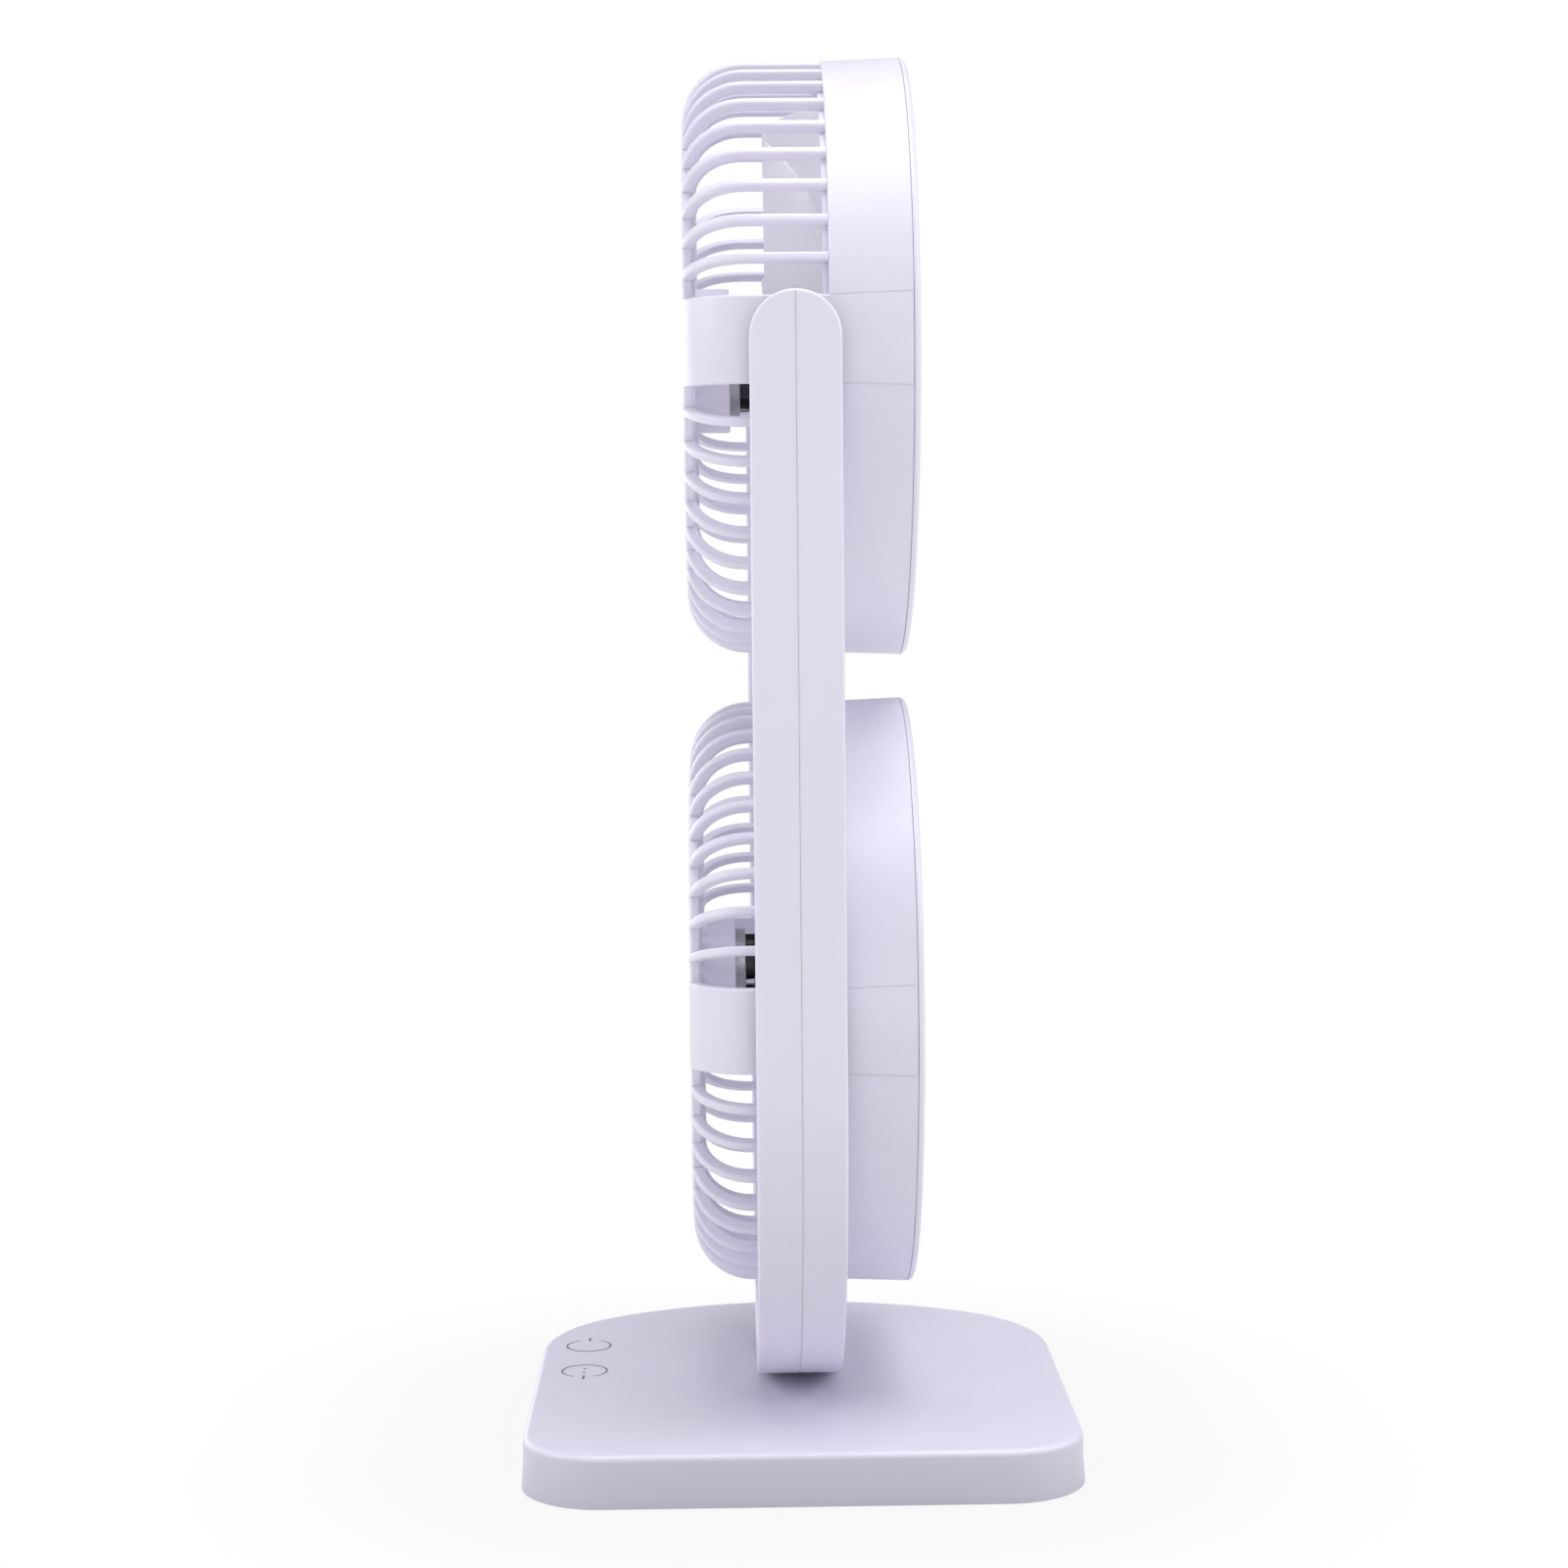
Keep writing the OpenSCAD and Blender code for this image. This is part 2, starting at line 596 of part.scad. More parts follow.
// Block over one side of the head, as high as the side panel
module panel_block(grow) {
  rotate([90, 0, 90]) linear_extrude(head_r + 5)
    polygon([for (p = panel_tail)
      [p[0] == casing_rear ? p[0] + 4 * grow : p[0], p[1] + sign(p[1]) * grow]]);
}
module skin_shell() {
  along_y() rotate_extrude() cage_skin();
}
function casing_r(y) = cage_r + (head_r - cage_r) * (y - casing_front) / (casing_rear - casing_front);
module casing_cone(depth, from, to) {
  // The casing's outer surface, sunk by a depth, as a solid between two places on the axis
  along_y() translate([0, 0, from])
    cylinder(r1 = casing_r(from) - depth, r2 = casing_r(to) - depth, h = to - from);
}
module casing_skin(depth) {
  difference() {
    casing_cone(0, casing_front, casing_rear);
    casing_cone(depth, casing_front - 1, casing_rear + 1);
  }
}
module side_panels() {
  on_sides() {
    intersection() {
      skin_shell();
      difference() {
        panel_block(0);
        translate([0, -100, -100]) cube([outer_ring_r - ring_w, 200, 200]);
      }
    }
    intersection() {
      casing_skin(tongue_t);
      panel_block(0);
    }
    intersection() {
      along_y() translate([0, 0, casing_front - 1]) ring(cage_r, cage_r - tongue_t, 1.5);
      panel_block(0);
    }
    translate([pin_in_x, 0, 0]) along_x() cylinder(r = boss_r, h = inner_r + 1 - pin_in_x);
  }
}
// Rings and spokes lie a little inside the faces of the ribs
ring_inset = 0.3;
module front_ring(r) {
  along_y() translate([0, 0, -head_front + ring_inset]) ring(r, r - ring_w, rib_depth - 2 * ring_inset);
}
cup_wall = 1.6;
module motor_cup() {
  along_y() translate([0, 0, -head_front + 1]) difference() {
    cylinder(r = cup_r, h = cup_depth - 1);
    translate([0, 0, 2]) cylinder(r = cup_r - cup_wall, h = cup_depth);
  }
}
module front_grille() color(shell_white) {
  difference() {
    union() {
      for (i = [0 : rib_count - 1])
        let (a = i * rib_angle)
          if (abs(sin(a)) > sin(panel_angle))
            rotate([0, -a, 0]) rotate([90, 0, 0])
              along_z_rib(i % 2 == 0 ? cup_r - 1 : mid_ring_r - ring_w / 2);
      for (i = [0 : rib_count - 1])
        let (a = i * rib_angle)
          if (abs(sin(a)) <= sin(panel_angle) && i % 2 == 0)
            rotate([0, -a, 0]) rotate([90, 0, 0]) inner_spoke(cup_r - 1, outer_ring_r - ring_w / 2);
      front_ring(outer_ring_r);
      front_ring(mid_ring_r);
      motor_cup();
      along_y() translate([0, 0, casing_front - spigot_ahead])
        ring(spigot_r, spigot_r - spigot_w, spigot_ahead + spigot_in);
      side_panels();
    }
    on_sides() translate([pin_in_x - 1, 0, 0]) along_x() cylinder(r = pin_r, h = 20);
  }
}
// A rib in the plane of +X and the fan's axis, laid so that along_y's turn is already made
module along_z_rib(r_from) {
  rotate([-90, 0, 0]) translate([0, 0, -rib_t / 2]) linear_extrude(rib_t) difference() {
    cage_skin();
    translate([-1, -head_front - 1]) square([r_from + 1, 2 * head_front]);
  }
}
module inner_spoke(r_from, r_to) {
  rotate([-90, 0, 0]) translate([r_from, -head_front + ring_inset / 2, -rib_t / 2])
    cube([r_to - r_from, rib_depth - ring_inset, rib_t]);
}
cap_t = 1;
cap_inset = 1.8;
module hub_cap() color(shell_white)
  along_y() translate([0, 0, -head_front]) cylinder(r1 = cup_r - cap_inset, r2 = cup_r - 1.15, h = cap_t);

// Closed casing behind the cage, with four screw bosses and a recess for each side panel
module rear_casing() color(shell_white) {
  difference() {
    union() {
      difference() {
        casing_cone(0, casing_front, casing_rear);
        along_y() translate([0, 0, casing_front - 1])
          cylinder(r = casing_bore_r, h = casing_rear - casing_front + 2);
      }
      screw_circle() translate([0, casing_front + casing_boss_set, 0]) {
        along_y() cylinder(r = casing_boss_r, h = casing_rear - casing_front - casing_boss_set, $fn = 32);
        translate([0, 0, -1]) cube([casing_boss_r + 1.8, casing_rear - casing_front - casing_boss_set, 2]);
      }
    }
    on_sides() intersection() {
      difference() {
        casing_cone(-2, casing_front - 1, casing_rear + 1);
        casing_cone(tongue_t + seam, casing_front - 2, casing_rear + 2);
      }
      panel_block(seam * 2.5);
    }
    screw_circle() translate([0, casing_front + casing_boss_set + 2, 0]) along_y()
      cylinder(r = casing_screw_r, h = 30, $fn = 24);
  }
}

// Rear cover: a rounded rim round a ring-and-spoke air inlet
inlet_r = head_r - 13;
inlet_hub_r = 16;
spoke_count = 36;
spoke_t = 2;
spoke_inset = 0.15;
inlet_rings = [33, 50];
rim_r = min(rear_cover_t, 1.5);
casing_screw_r = 1.1;
cover_floor = 0.5;
module screw_circle() {
  for (a = [45 : 90 : 315]) rotate([0, a, 0]) translate([bolt_circle_r, 0, 0]) children();
}
module flat_ring(r_out, r_in) {
  difference() {
    circle(r = r_out);
    circle(r = r_in);
  }
}
module rear_cover() color(shell_white) {
  difference() {
    union() {
      along_y() translate([0, 0, casing_rear + seam]) rotate_extrude() intersection() {
        translate([inlet_r, 0]) square([head_r - inlet_r, rear_cover_t]);
        union() {
          square([head_r - rim_r, rear_cover_t]);
          square([head_r, rear_cover_t - rim_r]);
          translate([head_r - rim_r, rear_cover_t - rim_r]) circle(r = rim_r, $fn = 48);
        }
      }
      along_y() translate([0, 0, casing_rear + seam + spoke_inset])
        linear_extrude(rear_cover_t - 2 * spoke_inset) {
          for (i = [0 : spoke_count - 1]) rotate([0, 0, i * 360 / spoke_count])
            translate([inlet_hub_r - 1, -spoke_t / 2]) square([inlet_r - inlet_hub_r + 2, spoke_t]);
          for (r = inlet_rings) flat_ring(r + ring_w, r);
          circle(r = inlet_hub_r);
        }
    }
    screw_circle() translate([0, casing_rear, 0]) along_y() {
      translate([0, 0, -1]) cylinder(r = screw_r + screw_play, h = 9, $fn = 24);
      translate([0, 0, seam + cover_floor]) cylinder(r = screw_head_r + screw_play, h = 5, $fn = 32);
    }
  }
}
module casing_screws() color(steel)
  screw_circle() translate([0, casing_rear, 0]) along_y() {
    translate([0, 0, -casing_screw_len])
      cylinder(r = casing_screw_r, h = casing_screw_len + seam + cover_floor + 2 * fit_play, $fn = 24);
    translate([0, 0, seam + cover_floor + fit_play]) difference() {
      cylinder(r = screw_head_r, h = screw_head_t, $fn = 32);
      translate([0, 0, screw_head_t]) cross_recess(slot_reach, slot_w, slot_depth);
    }
  }
casing_screw_len = 9;
module pivot_pins() color(steel)
  on_sides() translate([pin_in_x, 0, 0]) along_x() ring(pin_r, pin_r - pin_wall, pin_out_x - pin_in_x);

// Motor: a steel can in the grille's cup, with its wound stator showing behind
can_front = -head_front + cap_t + 2 + seam;
can_len = 11.6;
can_floor = 0.9;
can_wall = 0.8;
can_rear = can_front + can_len;
coil_rear = can_rear + 3.4;
end_cap_t = 1.4;
bearing_r = 3.5;
bearing_len = 2.4;
core_r = motor_r - can_wall;
core_bore_r = 8.4;
slot_count = 9;
module motor_can() color(steel)
  along_y() translate([0, 0, can_front]) difference() {
    cylinder(r = motor_r, h = can_len);
    translate([0, 0, can_floor]) cylinder(r = core_r, h = can_len);
    translate([0, 0, -1]) cylinder(r = shaft_r + 0.5, h = 4, $fn = 32);
  }
tooth_w = 3;
core_len = 6.4;
core_back = 1.8;
core_lip = 1;
coil_w = 4.8;
coil_z = 2.4;
coil_gap = 0.1;
core_z = coil_z + 1.6;
module stator_core() color(dark_iron)
  along_y() translate([0, 0, can_front + core_z]) {
    ring(core_r - fit_play, core_r - core_back, core_len);
    for (i = [0 : slot_count - 1]) rotate([0, 0, i * 360 / slot_count])
      translate([core_bore_r + core_lip / 2, -tooth_w / 2, 0])
        cube([core_r - core_back / 2 - core_bore_r - core_lip / 2, tooth_w, core_len]);
    difference() {
      ring(core_bore_r + core_lip, core_bore_r, core_len);
      for (i = [0 : slot_count - 1]) rotate([0, 0, (i + 0.5) * 360 / slot_count])
        translate([core_bore_r - 1, -tooth_w / 5, -1]) cube([2 + core_lip, tooth_w / 2.5, core_len + 2]);
    }
  }
module stator_coils() color(coil_black)
  along_y() translate([0, 0, can_front + coil_z])
    for (i = [0 : slot_count - 1]) rotate([0, 0, i * 360 / slot_count])
      difference() {
        translate([core_bore_r + core_lip + 0.4, -coil_w / 2, 0])
          cube([core_r - core_back - core_bore_r - core_lip - 0.8, coil_w, coil_rear - can_front - coil_z]);
        translate([core_bore_r, -tooth_w / 2 - bare_gap, core_z - coil_z - coil_gap])
          cube([core_r, tooth_w + 2 * bare_gap, core_len + 2 * coil_gap]);
      }
module motor_end_cap() color(coil_black)
  along_y() translate([0, 0, coil_rear + bare_gap]) {
    difference() {
      ring(core_r - 0.6, core_r - 2.6, end_cap_t);
      for (i = [0 : 2 * slot_count - 1]) rotate([0, 0, (i + 0.5) * 180 / slot_count])
        translate([core_r - 1.2, -0.7, -1]) cube([3, 1.4, 5]);
    }
    ring(bearing_r + 1.6, bearing_r, end_cap_t);
    for (i = [0 : 2]) rotate([0, 0, i * 120])
      translate([bearing_r + 1, -1.4, 0]) cube([core_r - bearing_r - 3, 2.8, end_cap_t]);
    for (i = [0 : 2]) rotate([0, 0, i * 120 + 20])
      translate([core_r - 2.3, -1, can_rear - coil_rear - bare_gap])
        cube([1.6, 2, coil_rear - can_rear + 0.1]);
  }
module motor_bearings() color([0.75, 0.76, 0.78])
  along_y() {
    for (z = [can_front + can_floor + bare_gap, coil_rear + bare_gap + end_cap_t - bearing_len])
      translate([0, 0, z]) ring(bearing_r, shaft_r + running_gap, bearing_len);
  }
hub_face = -impeller_front;
shaft_front = can_front + can_floor - 0.1;
module motor_shaft() color(steel)
  along_y() translate([0, 0, shaft_front])
    cylinder(r = shaft_r, h = impeller_len - impeller_front - 4 - shaft_front);
magnet_r = core_bore_r - 0.5;
module rotor_magnet() color(dark_iron)
  along_y() translate([0, 0, can_front + core_z - 0.1]) ring(magnet_r, shaft_r, core_len + 0.2);

// Impeller: twisted, cambered blades on a cupped hub
root_chord_a = 40;
tip_chord_a = 30;
blade_sweep_a = 16;
blade_root_in = 1.5;
blade_rest_a = 26.5;
hub_wall = 1.6;
hub_round = 2;
hub_core_r = 4.5;
stations = 6;
chord_steps = 6;
function blade_mid(s, u) =
  // s runs 0 to 1 from root to tip, u from 0 to 1 across the chord
  let (
    r = impeller_hub_r - blade_root_in + s * (blade_tip_r - impeller_hub_r + blade_root_in),
    sweep = blade_sweep_a * s,
    span_a = root_chord_a + (tip_chord_a - root_chord_a) * s,
    len_y = impeller_len * (0.94 - 0.34 * s * s),
    y = -impeller_front + 0.4 + len_y * (u + 0.1 * sin(180 * u)),
    a = sweep - span_a * (u - 0.35)
  ) [r * cos(a), y, r * sin(a)];
function blade_normal(s, u) =
  let (
    d = 0.01,
    pu = blade_mid(s, u + d) - blade_mid(s, u - d),
    ps = blade_mid(s + d, u) - blade_mid(s - d, u),
    n = cross(pu, ps)
  ) n / norm(n);
function blade_half_t(u) = blade_t / 2 * (0.35 + 0.65 * sin(180 * (0.08 + 0.84 * u)));
function blade_point(s, u, side) = blade_mid(s, u) + side * blade_normal(s, u) * blade_half_t(u);
function blade_loop(s) = concat(
  [for (i = [0 : chord_steps]) blade_point(s, i / chord_steps, 1)],
  [for (i = [chord_steps : -1 : 0]) blade_point(s, i / chord_steps, -1)]);
module blade() loft([for (k = [0 : stations]) blade_loop(k / stations)], curved_ends = true);
module impeller() color(blade_white) {
  difference() {
    union() {
      for (i = [0 : blade_count - 1]) rotate([0, i * 360 / blade_count - blade_rest_a, 0]) blade();
      along_y() translate([0, 0, hub_face]) difference() {
        rotate_extrude() union() {
          square([impeller_hub_r - hub_round, impeller_len]);
          translate([0, hub_round]) square([impeller_hub_r, impeller_len - hub_round]);
          translate([impeller_hub_r - hub_round, hub_round]) circle(r = hub_round, $fn = 32);
        }
        translate([0, 0, 2]) ring(impeller_hub_r - hub_wall, hub_core_r, impeller_len);
      }
    }
    along_y() translate([0, 0, -40]) cylinder(r = shaft_r, h = 80);
  }
}

// Each head's pieces are drawn about its pivot and lifted to its height
module upper() { translate([0, 0, upper_z]) children(); }
module lower() { translate([0, 0, lower_z]) children(); }

base_top_cover();
base_bottom_plate();
ballast_plate();
battery_pack();
control_board();
usb_board();
usb_socket();
touch_pads();
touch_marks();
rubber_feet();
base_screws();
swivel_washer();
swivel_nut();
swivel_post();
yoke_front_shell();
yoke_rear_shell();
yoke_screws();
wire_loom();
pivot_bushes();
pivot_washers();
upper() front_grille();  // upper_front_grille
upper() hub_cap();  // upper_hub_cap
upper() rear_casing();  // upper_rear_casing
upper() rear_cover();  // upper_rear_cover
upper() casing_screws();  // upper_casing_screws
upper() pivot_pins();  // upper_pivot_pins
upper() motor_can();  // upper_motor_can
upper() stator_core();  // upper_stator_core
upper() stator_coils();  // upper_stator_coils
upper() motor_end_cap();  // upper_motor_end_cap
upper() motor_bearings();  // upper_motor_bearings
upper() motor_shaft();  // upper_motor_shaft
upper() rotor_magnet();  // upper_rotor_magnet
upper() impeller();  // upper_impeller
lower() front_grille();  // lower_front_grille
lower() hub_cap();  // lower_hub_cap
lower() rear_casing();  // lower_rear_casing
lower() rear_cover();  // lower_rear_cover
lower() casing_screws();  // lower_casing_screws
lower() pivot_pins();  // lower_pivot_pins
lower() motor_can();  // lower_motor_can
lower() stator_core();  // lower_stator_core
lower() stator_coils();  // lower_stator_coils
lower() motor_end_cap();  // lower_motor_end_cap
lower() motor_bearings();  // lower_motor_bearings
lower() motor_shaft();  // lower_motor_shaft
lower() rotor_magnet();  // lower_rotor_magnet
lower() impeller();  // lower_impeller
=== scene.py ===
import json
import math

import bmesh
import bpy
from mathutils import Matrix, Vector


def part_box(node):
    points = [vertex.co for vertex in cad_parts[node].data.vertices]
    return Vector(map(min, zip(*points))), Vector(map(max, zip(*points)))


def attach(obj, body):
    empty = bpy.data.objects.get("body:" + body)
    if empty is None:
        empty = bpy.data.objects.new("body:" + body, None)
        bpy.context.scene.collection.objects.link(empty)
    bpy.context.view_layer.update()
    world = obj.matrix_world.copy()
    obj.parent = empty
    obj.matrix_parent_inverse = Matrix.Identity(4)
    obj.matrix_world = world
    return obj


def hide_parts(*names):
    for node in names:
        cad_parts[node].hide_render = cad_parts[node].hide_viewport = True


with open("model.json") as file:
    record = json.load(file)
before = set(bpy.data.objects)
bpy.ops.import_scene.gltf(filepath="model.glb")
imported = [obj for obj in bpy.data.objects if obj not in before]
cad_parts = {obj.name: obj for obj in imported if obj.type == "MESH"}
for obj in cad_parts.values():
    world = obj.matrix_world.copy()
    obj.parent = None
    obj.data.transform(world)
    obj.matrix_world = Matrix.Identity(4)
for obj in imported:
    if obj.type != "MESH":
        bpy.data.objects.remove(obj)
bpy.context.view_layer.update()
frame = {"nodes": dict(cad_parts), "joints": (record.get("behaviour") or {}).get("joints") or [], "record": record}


# Camera
# It stands a little above the gap between the heads, 82 cm to the right of the fan, and looks
# along the pivots, a little down. The photograph is square.
MM = 0.001
camera_at = Vector((819.92, -17.33, 234.3)) * MM
camera_yaw, camera_pitch, camera_roll = (math.radians(a) for a in (1.056, 4.075, -0.5286))
ahead = Vector((-math.cos(camera_yaw) * math.cos(camera_pitch),
                math.sin(camera_yaw) * math.cos(camera_pitch), -math.sin(camera_pitch)))
level_right = Vector((math.sin(camera_yaw), math.cos(camera_yaw), 0))
level_up = level_right.cross(ahead)
right = math.cos(camera_roll) * level_right + math.sin(camera_roll) * level_up
up = math.cos(camera_roll) * level_up - math.sin(camera_roll) * level_right
camera = bpy.data.objects.new("camera", bpy.data.cameras.new("camera"))
bpy.context.scene.collection.objects.link(camera)
camera.matrix_world = Matrix((right, up, -ahead)).transposed().to_4x4()
camera.location = camera_at
camera.data.sensor_width = 36
camera.data.lens = 68.66
camera.data.clip_start, camera.data.clip_end = 0.05, 60
bpy.context.scene.camera = camera


# Floor, backdrop and light
# A white table top that shows the fan's shadow under the base, faintly beside it and not
# farther out. Under the base it is a dark floor, painted shade that makes the gap below the
# base read black. Beside the base its white fades a little, a faint painted shadow. For the
# light it throws on the fan it glows away from the base, a painted bounce light from below.
# Soft lights hang overhead, in front and behind, and two weak ones stand low.
def bare_tree(owner):
    owner.use_nodes = True
    owner.node_tree.nodes.clear()
    return owner.node_tree


def add_node(tree, kind, sockets=None, **settings):
    """A new node. A socket that is given another node's output is linked, others take a value."""
    node = tree.nodes.new(kind)
    for name, value in settings.items():
        setattr(node, name, value)
    for name, value in (sockets or {}).items():
        if isinstance(value, bpy.types.NodeSocket):
            tree.links.new(value, node.inputs[name])
        else:
            node.inputs[name].default_value = value
    return node


def vector_maths(tree, operation, *values):
    return add_node(tree, "ShaderNodeVectorMath", dict(enumerate(values)), operation=operation).outputs


def maths(tree, operation, *values):
    return add_node(tree, "ShaderNodeMath", dict(enumerate(values)), operation=operation).outputs[0]


def any_of_rays(tree, kinds):
    rays = add_node(tree, "ShaderNodeLightPath").outputs
    total = rays[kinds[0]]
    for kind in kinds[1:]:
        total = maths(tree, "MAXIMUM", total, rays[kind])
    return total


seen_rays = ("Is Camera Ray", "Is Glossy Ray", "Is Transmission Ray")
floor_reach, floor_glow = 8.0, 1.0
# The base's footprint, where the table is a dark diffuse floor even to the camera: painted shade under the base.
painted_shade_x, painted_shade_y, painted_shade_corner_r = (-60 * MM, 84 * MM), 70 * MM, 45 * MM
shadow_share, shadow_reach = 0.07, 0.16
dark_reach, lit_reach, lit_glow = 0.03, 0.15, 1.1
painted_shade_middle = (sum(painted_shade_x) / 2, 0, 0)
painted_shade_straight = ((painted_shade_x[1] - painted_shade_x[0]) / 2 - painted_shade_corner_r, painted_shade_y - painted_shade_corner_r, 0)
floor_white = bpy.data.materials.new("white table")
tree = bare_tree(floor_white)
place = add_node(tree, "ShaderNodeTexCoord").outputs["Object"]
from_middle = vector_maths(tree, "ABSOLUTE", vector_maths(tree, "SUBTRACT", place, painted_shade_middle)[0])[0]
outside = vector_maths(tree, "MAXIMUM", vector_maths(tree, "SUBTRACT", from_middle, painted_shade_straight)[0])[0]
distance = vector_maths(tree, "LENGTH", outside)["Value"]
# Beside the base the camera's white fades a little, a faint painted shadow round it.
fade = add_node(tree, "ShaderNodeMapRange", {
    "Value": distance, "From Min": painted_shade_corner_r, "From Max": shadow_reach,
    "To Min": 1 - shadow_share}, interpolation_type="SMOOTHSTEP").outputs["Result"]
white_share = maths(tree, "MULTIPLY", fade, maths(tree, "GREATER_THAN", distance, painted_shade_corner_r))
# For other rays the table glows, a painted bounce light that fades out near the base.
lit_floor = add_node(tree, "ShaderNodeMapRange", {
    "Value": distance, "From Min": dark_reach, "From Max": lit_reach,
    "To Max": lit_glow}, interpolation_type="SMOOTHSTEP").outputs["Result"]
share = add_node(tree, "ShaderNodeMix", {
    "Factor": any_of_rays(tree, seen_rays), "A": lit_floor, "B": white_share}).outputs["Result"]
# A dark diffuse floor: painted shade under the base, and elsewhere a small share that shows real shadow.
dark_shade_floor = add_node(tree, "ShaderNodeBsdfDiffuse", {"Color": (0.16, 0.16, 0.17, 1)}).outputs[0]
glow = add_node(tree, "ShaderNodeEmission", {"Color": (1, 1, 1, 1), "Strength": floor_glow}).outputs[0]
mix = add_node(tree, "ShaderNodeMixShader", {"Fac": share, 1: dark_shade_floor, 2: glow})
add_node(tree, "ShaderNodeOutputMaterial", {"Surface": mix.outputs[0]})
mesh = bpy.data.meshes.new("table_top")
corners = [(-1, -1), (1, -1), (1, 1), (-1, 1)]
mesh.from_pydata([(x * floor_reach, y * floor_reach, 0) for x, y in corners], [], [(0, 1, 2, 3)])
mesh.materials.append(floor_white)
table_top = bpy.data.objects.new("table_top", mesh)
bpy.context.scene.collection.objects.link(table_top)

world = bpy.data.worlds.new("studio")
bpy.context.scene.world = world
tree = bare_tree(world)
room = add_node(tree, "ShaderNodeBackground", {"Color": (0.95, 0.95, 1.0, 1), "Strength": 0.35})
white = add_node(tree, "ShaderNodeBackground", {"Color": (1, 1, 1, 1)})
mix = add_node(tree, "ShaderNodeMixShader", {
    "Fac": any_of_rays(tree, ("Is Camera Ray",)), 1: room.outputs[0], 2: white.outputs[0]})
add_node(tree, "ShaderNodeOutputWorld", {"Surface": mix.outputs[0]})


def soft_light(name, at, look_at, size, watts):
    light = bpy.data.lights.new(name, "AREA")
    light.shape = "RECTANGLE"
    light.size, light.size_y = size
    light.energy = watts
    light.color = (0.94, 0.97, 1.0)
    lamp = bpy.data.objects.new(name, light)
    bpy.context.scene.collection.objects.link(lamp)
    lamp.location = at
    lamp.rotation_mode = "QUATERNION"
    lamp.rotation_quaternion = (Vector(look_at) - Vector(at)).to_track_quat("-Z", "Y")


soft_light("overhead_softbox", (0.2, 0.15, 1.7), (0, 0, 0.2), (1.3, 1.3), 19)
soft_light("front_softbox", (0.3, -1.5, 1.0), (0, 0, 0.15), (1.4, 1.0), 9)
soft_light("rear_softbox", (0.1, 1.5, 1.0), (0, 0, 0.1), (1.4, 1.0), 9)
soft_light("low_near_softbox", (1.7, 0.0, 0.25), (0, 0, 0.1), (1.4, 0.4), 2.7)
soft_light("low_far_softbox", (-1.1, -0.9, 0.35), (0, 0, 0.1), (1.2, 0.5), 4)
bpy.context.scene.view_settings.view_transform = "Standard"


# Base cover
# One injection-moulded shell of satin white ABS with a faint lavender tint, straight on the
# near side and bowed on the far one. Its top edge is rounded and its wall flares at the foot.
def noise(tree, source, scale, detail=2.0):
    sockets = {"Vector": source, "Scale": scale, "Detail": detail}
    return add_node(tree, "ShaderNodeTexNoise", sockets).outputs["Fac"]


def ranged(tree, value, low, high):
    """Spreads the middle of a texture's values over a range."""
    sockets = {"Value": value, "From Min": 0.3, "From Max": 0.7, "To Min": low, "To Max": high}
    return add_node(tree, "ShaderNodeMapRange", sockets).outputs["Result"]


def surface(name, colour, cloudy, rough, grain=2600, grain_depth=0.01 * MM, metallic=0.0, cloud=14):
    """A finish whose colour and gloss drift a little across the piece, over a fine grain."""
    material = bpy.data.materials.new(name)
    tree = bare_tree(material)
    place = add_node(tree, "ShaderNodeTexCoord").outputs["Object"]
    tone = add_node(tree, "ShaderNodeMix", {
        "A": (*colour, 1), "B": (*cloudy, 1),
        "Factor": ranged(tree, noise(tree, place, cloud, 4), 0, 1)}, data_type="RGBA")
    bump = add_node(tree, "ShaderNodeBump", {"Distance": grain_depth, "Height": noise(tree, place, grain)})
    body = add_node(tree, "ShaderNodeBsdfPrincipled", {
        "Base Color": tone.outputs["Result"], "Metallic": metallic, "Normal": bump.outputs["Normal"],
        "Roughness": ranged(tree, noise(tree, place, cloud * 5), *rough)})
    add_node(tree, "ShaderNodeOutputMaterial", {"Surface": body.outputs[0]})
    return material


def node_of(material, kind):
    return next(n for n in material.node_tree.nodes if n.type == kind)


def arc(centre, radius, start, end, steps):
    """Points round a centre, between two angles in degrees."""
    turns = [math.radians(start + (end - start) * i / steps) for i in range(steps + 1)]
    return [(centre[0] + radius * math.cos(a), centre[1] + radius * math.sin(a)) for a in turns]


def as_object(name, made, material, sharp=35):
    """A mesh object of a bmesh, smooth except at its sharp edges."""
    mesh = bpy.data.meshes.new(name)
    made.to_mesh(mesh)
    made.free()
    mesh.materials.append(material)
    mesh.shade_smooth()
    mesh.set_sharp_from_angle(angle=math.radians(sharp))
    piece = bpy.data.objects.new(name, mesh)
    bpy.context.scene.collection.objects.link(piece)
    return piece


def lofted(rings, cap=True):
    """Points and quads through closed rings of equal length, with flat ends."""
    count = len(rings[0])
    points = [p for ring in rings for p in ring]
    faces = [(k * count + i, k * count + (i + 1) % count,
              (k + 1) * count + (i + 1) % count, (k + 1) * count + i)
             for k in range(len(rings) - 1) for i in range(count)]
    if cap:
        last = (len(rings) - 1) * count
        faces += [tuple(reversed(range(count))), tuple(range(last, last + count))]
    return points, faces


def outward(made):
    """A bmesh of (points, faces) with doubles merged and every face turned outwards."""
    mesh = bmesh.new()
    corners = [mesh.verts.new(p) for p in made[0]]
    for face in made[1]:
        mesh.faces.new([corners[i] for i in face])
    bmesh.ops.remove_doubles(mesh, verts=mesh.verts, dist=2e-6)
    bmesh.ops.dissolve_degenerate(mesh, edges=mesh.edges, dist=1e-7)
    bmesh.ops.recalc_face_normals(mesh, faces=mesh.faces)
    return mesh


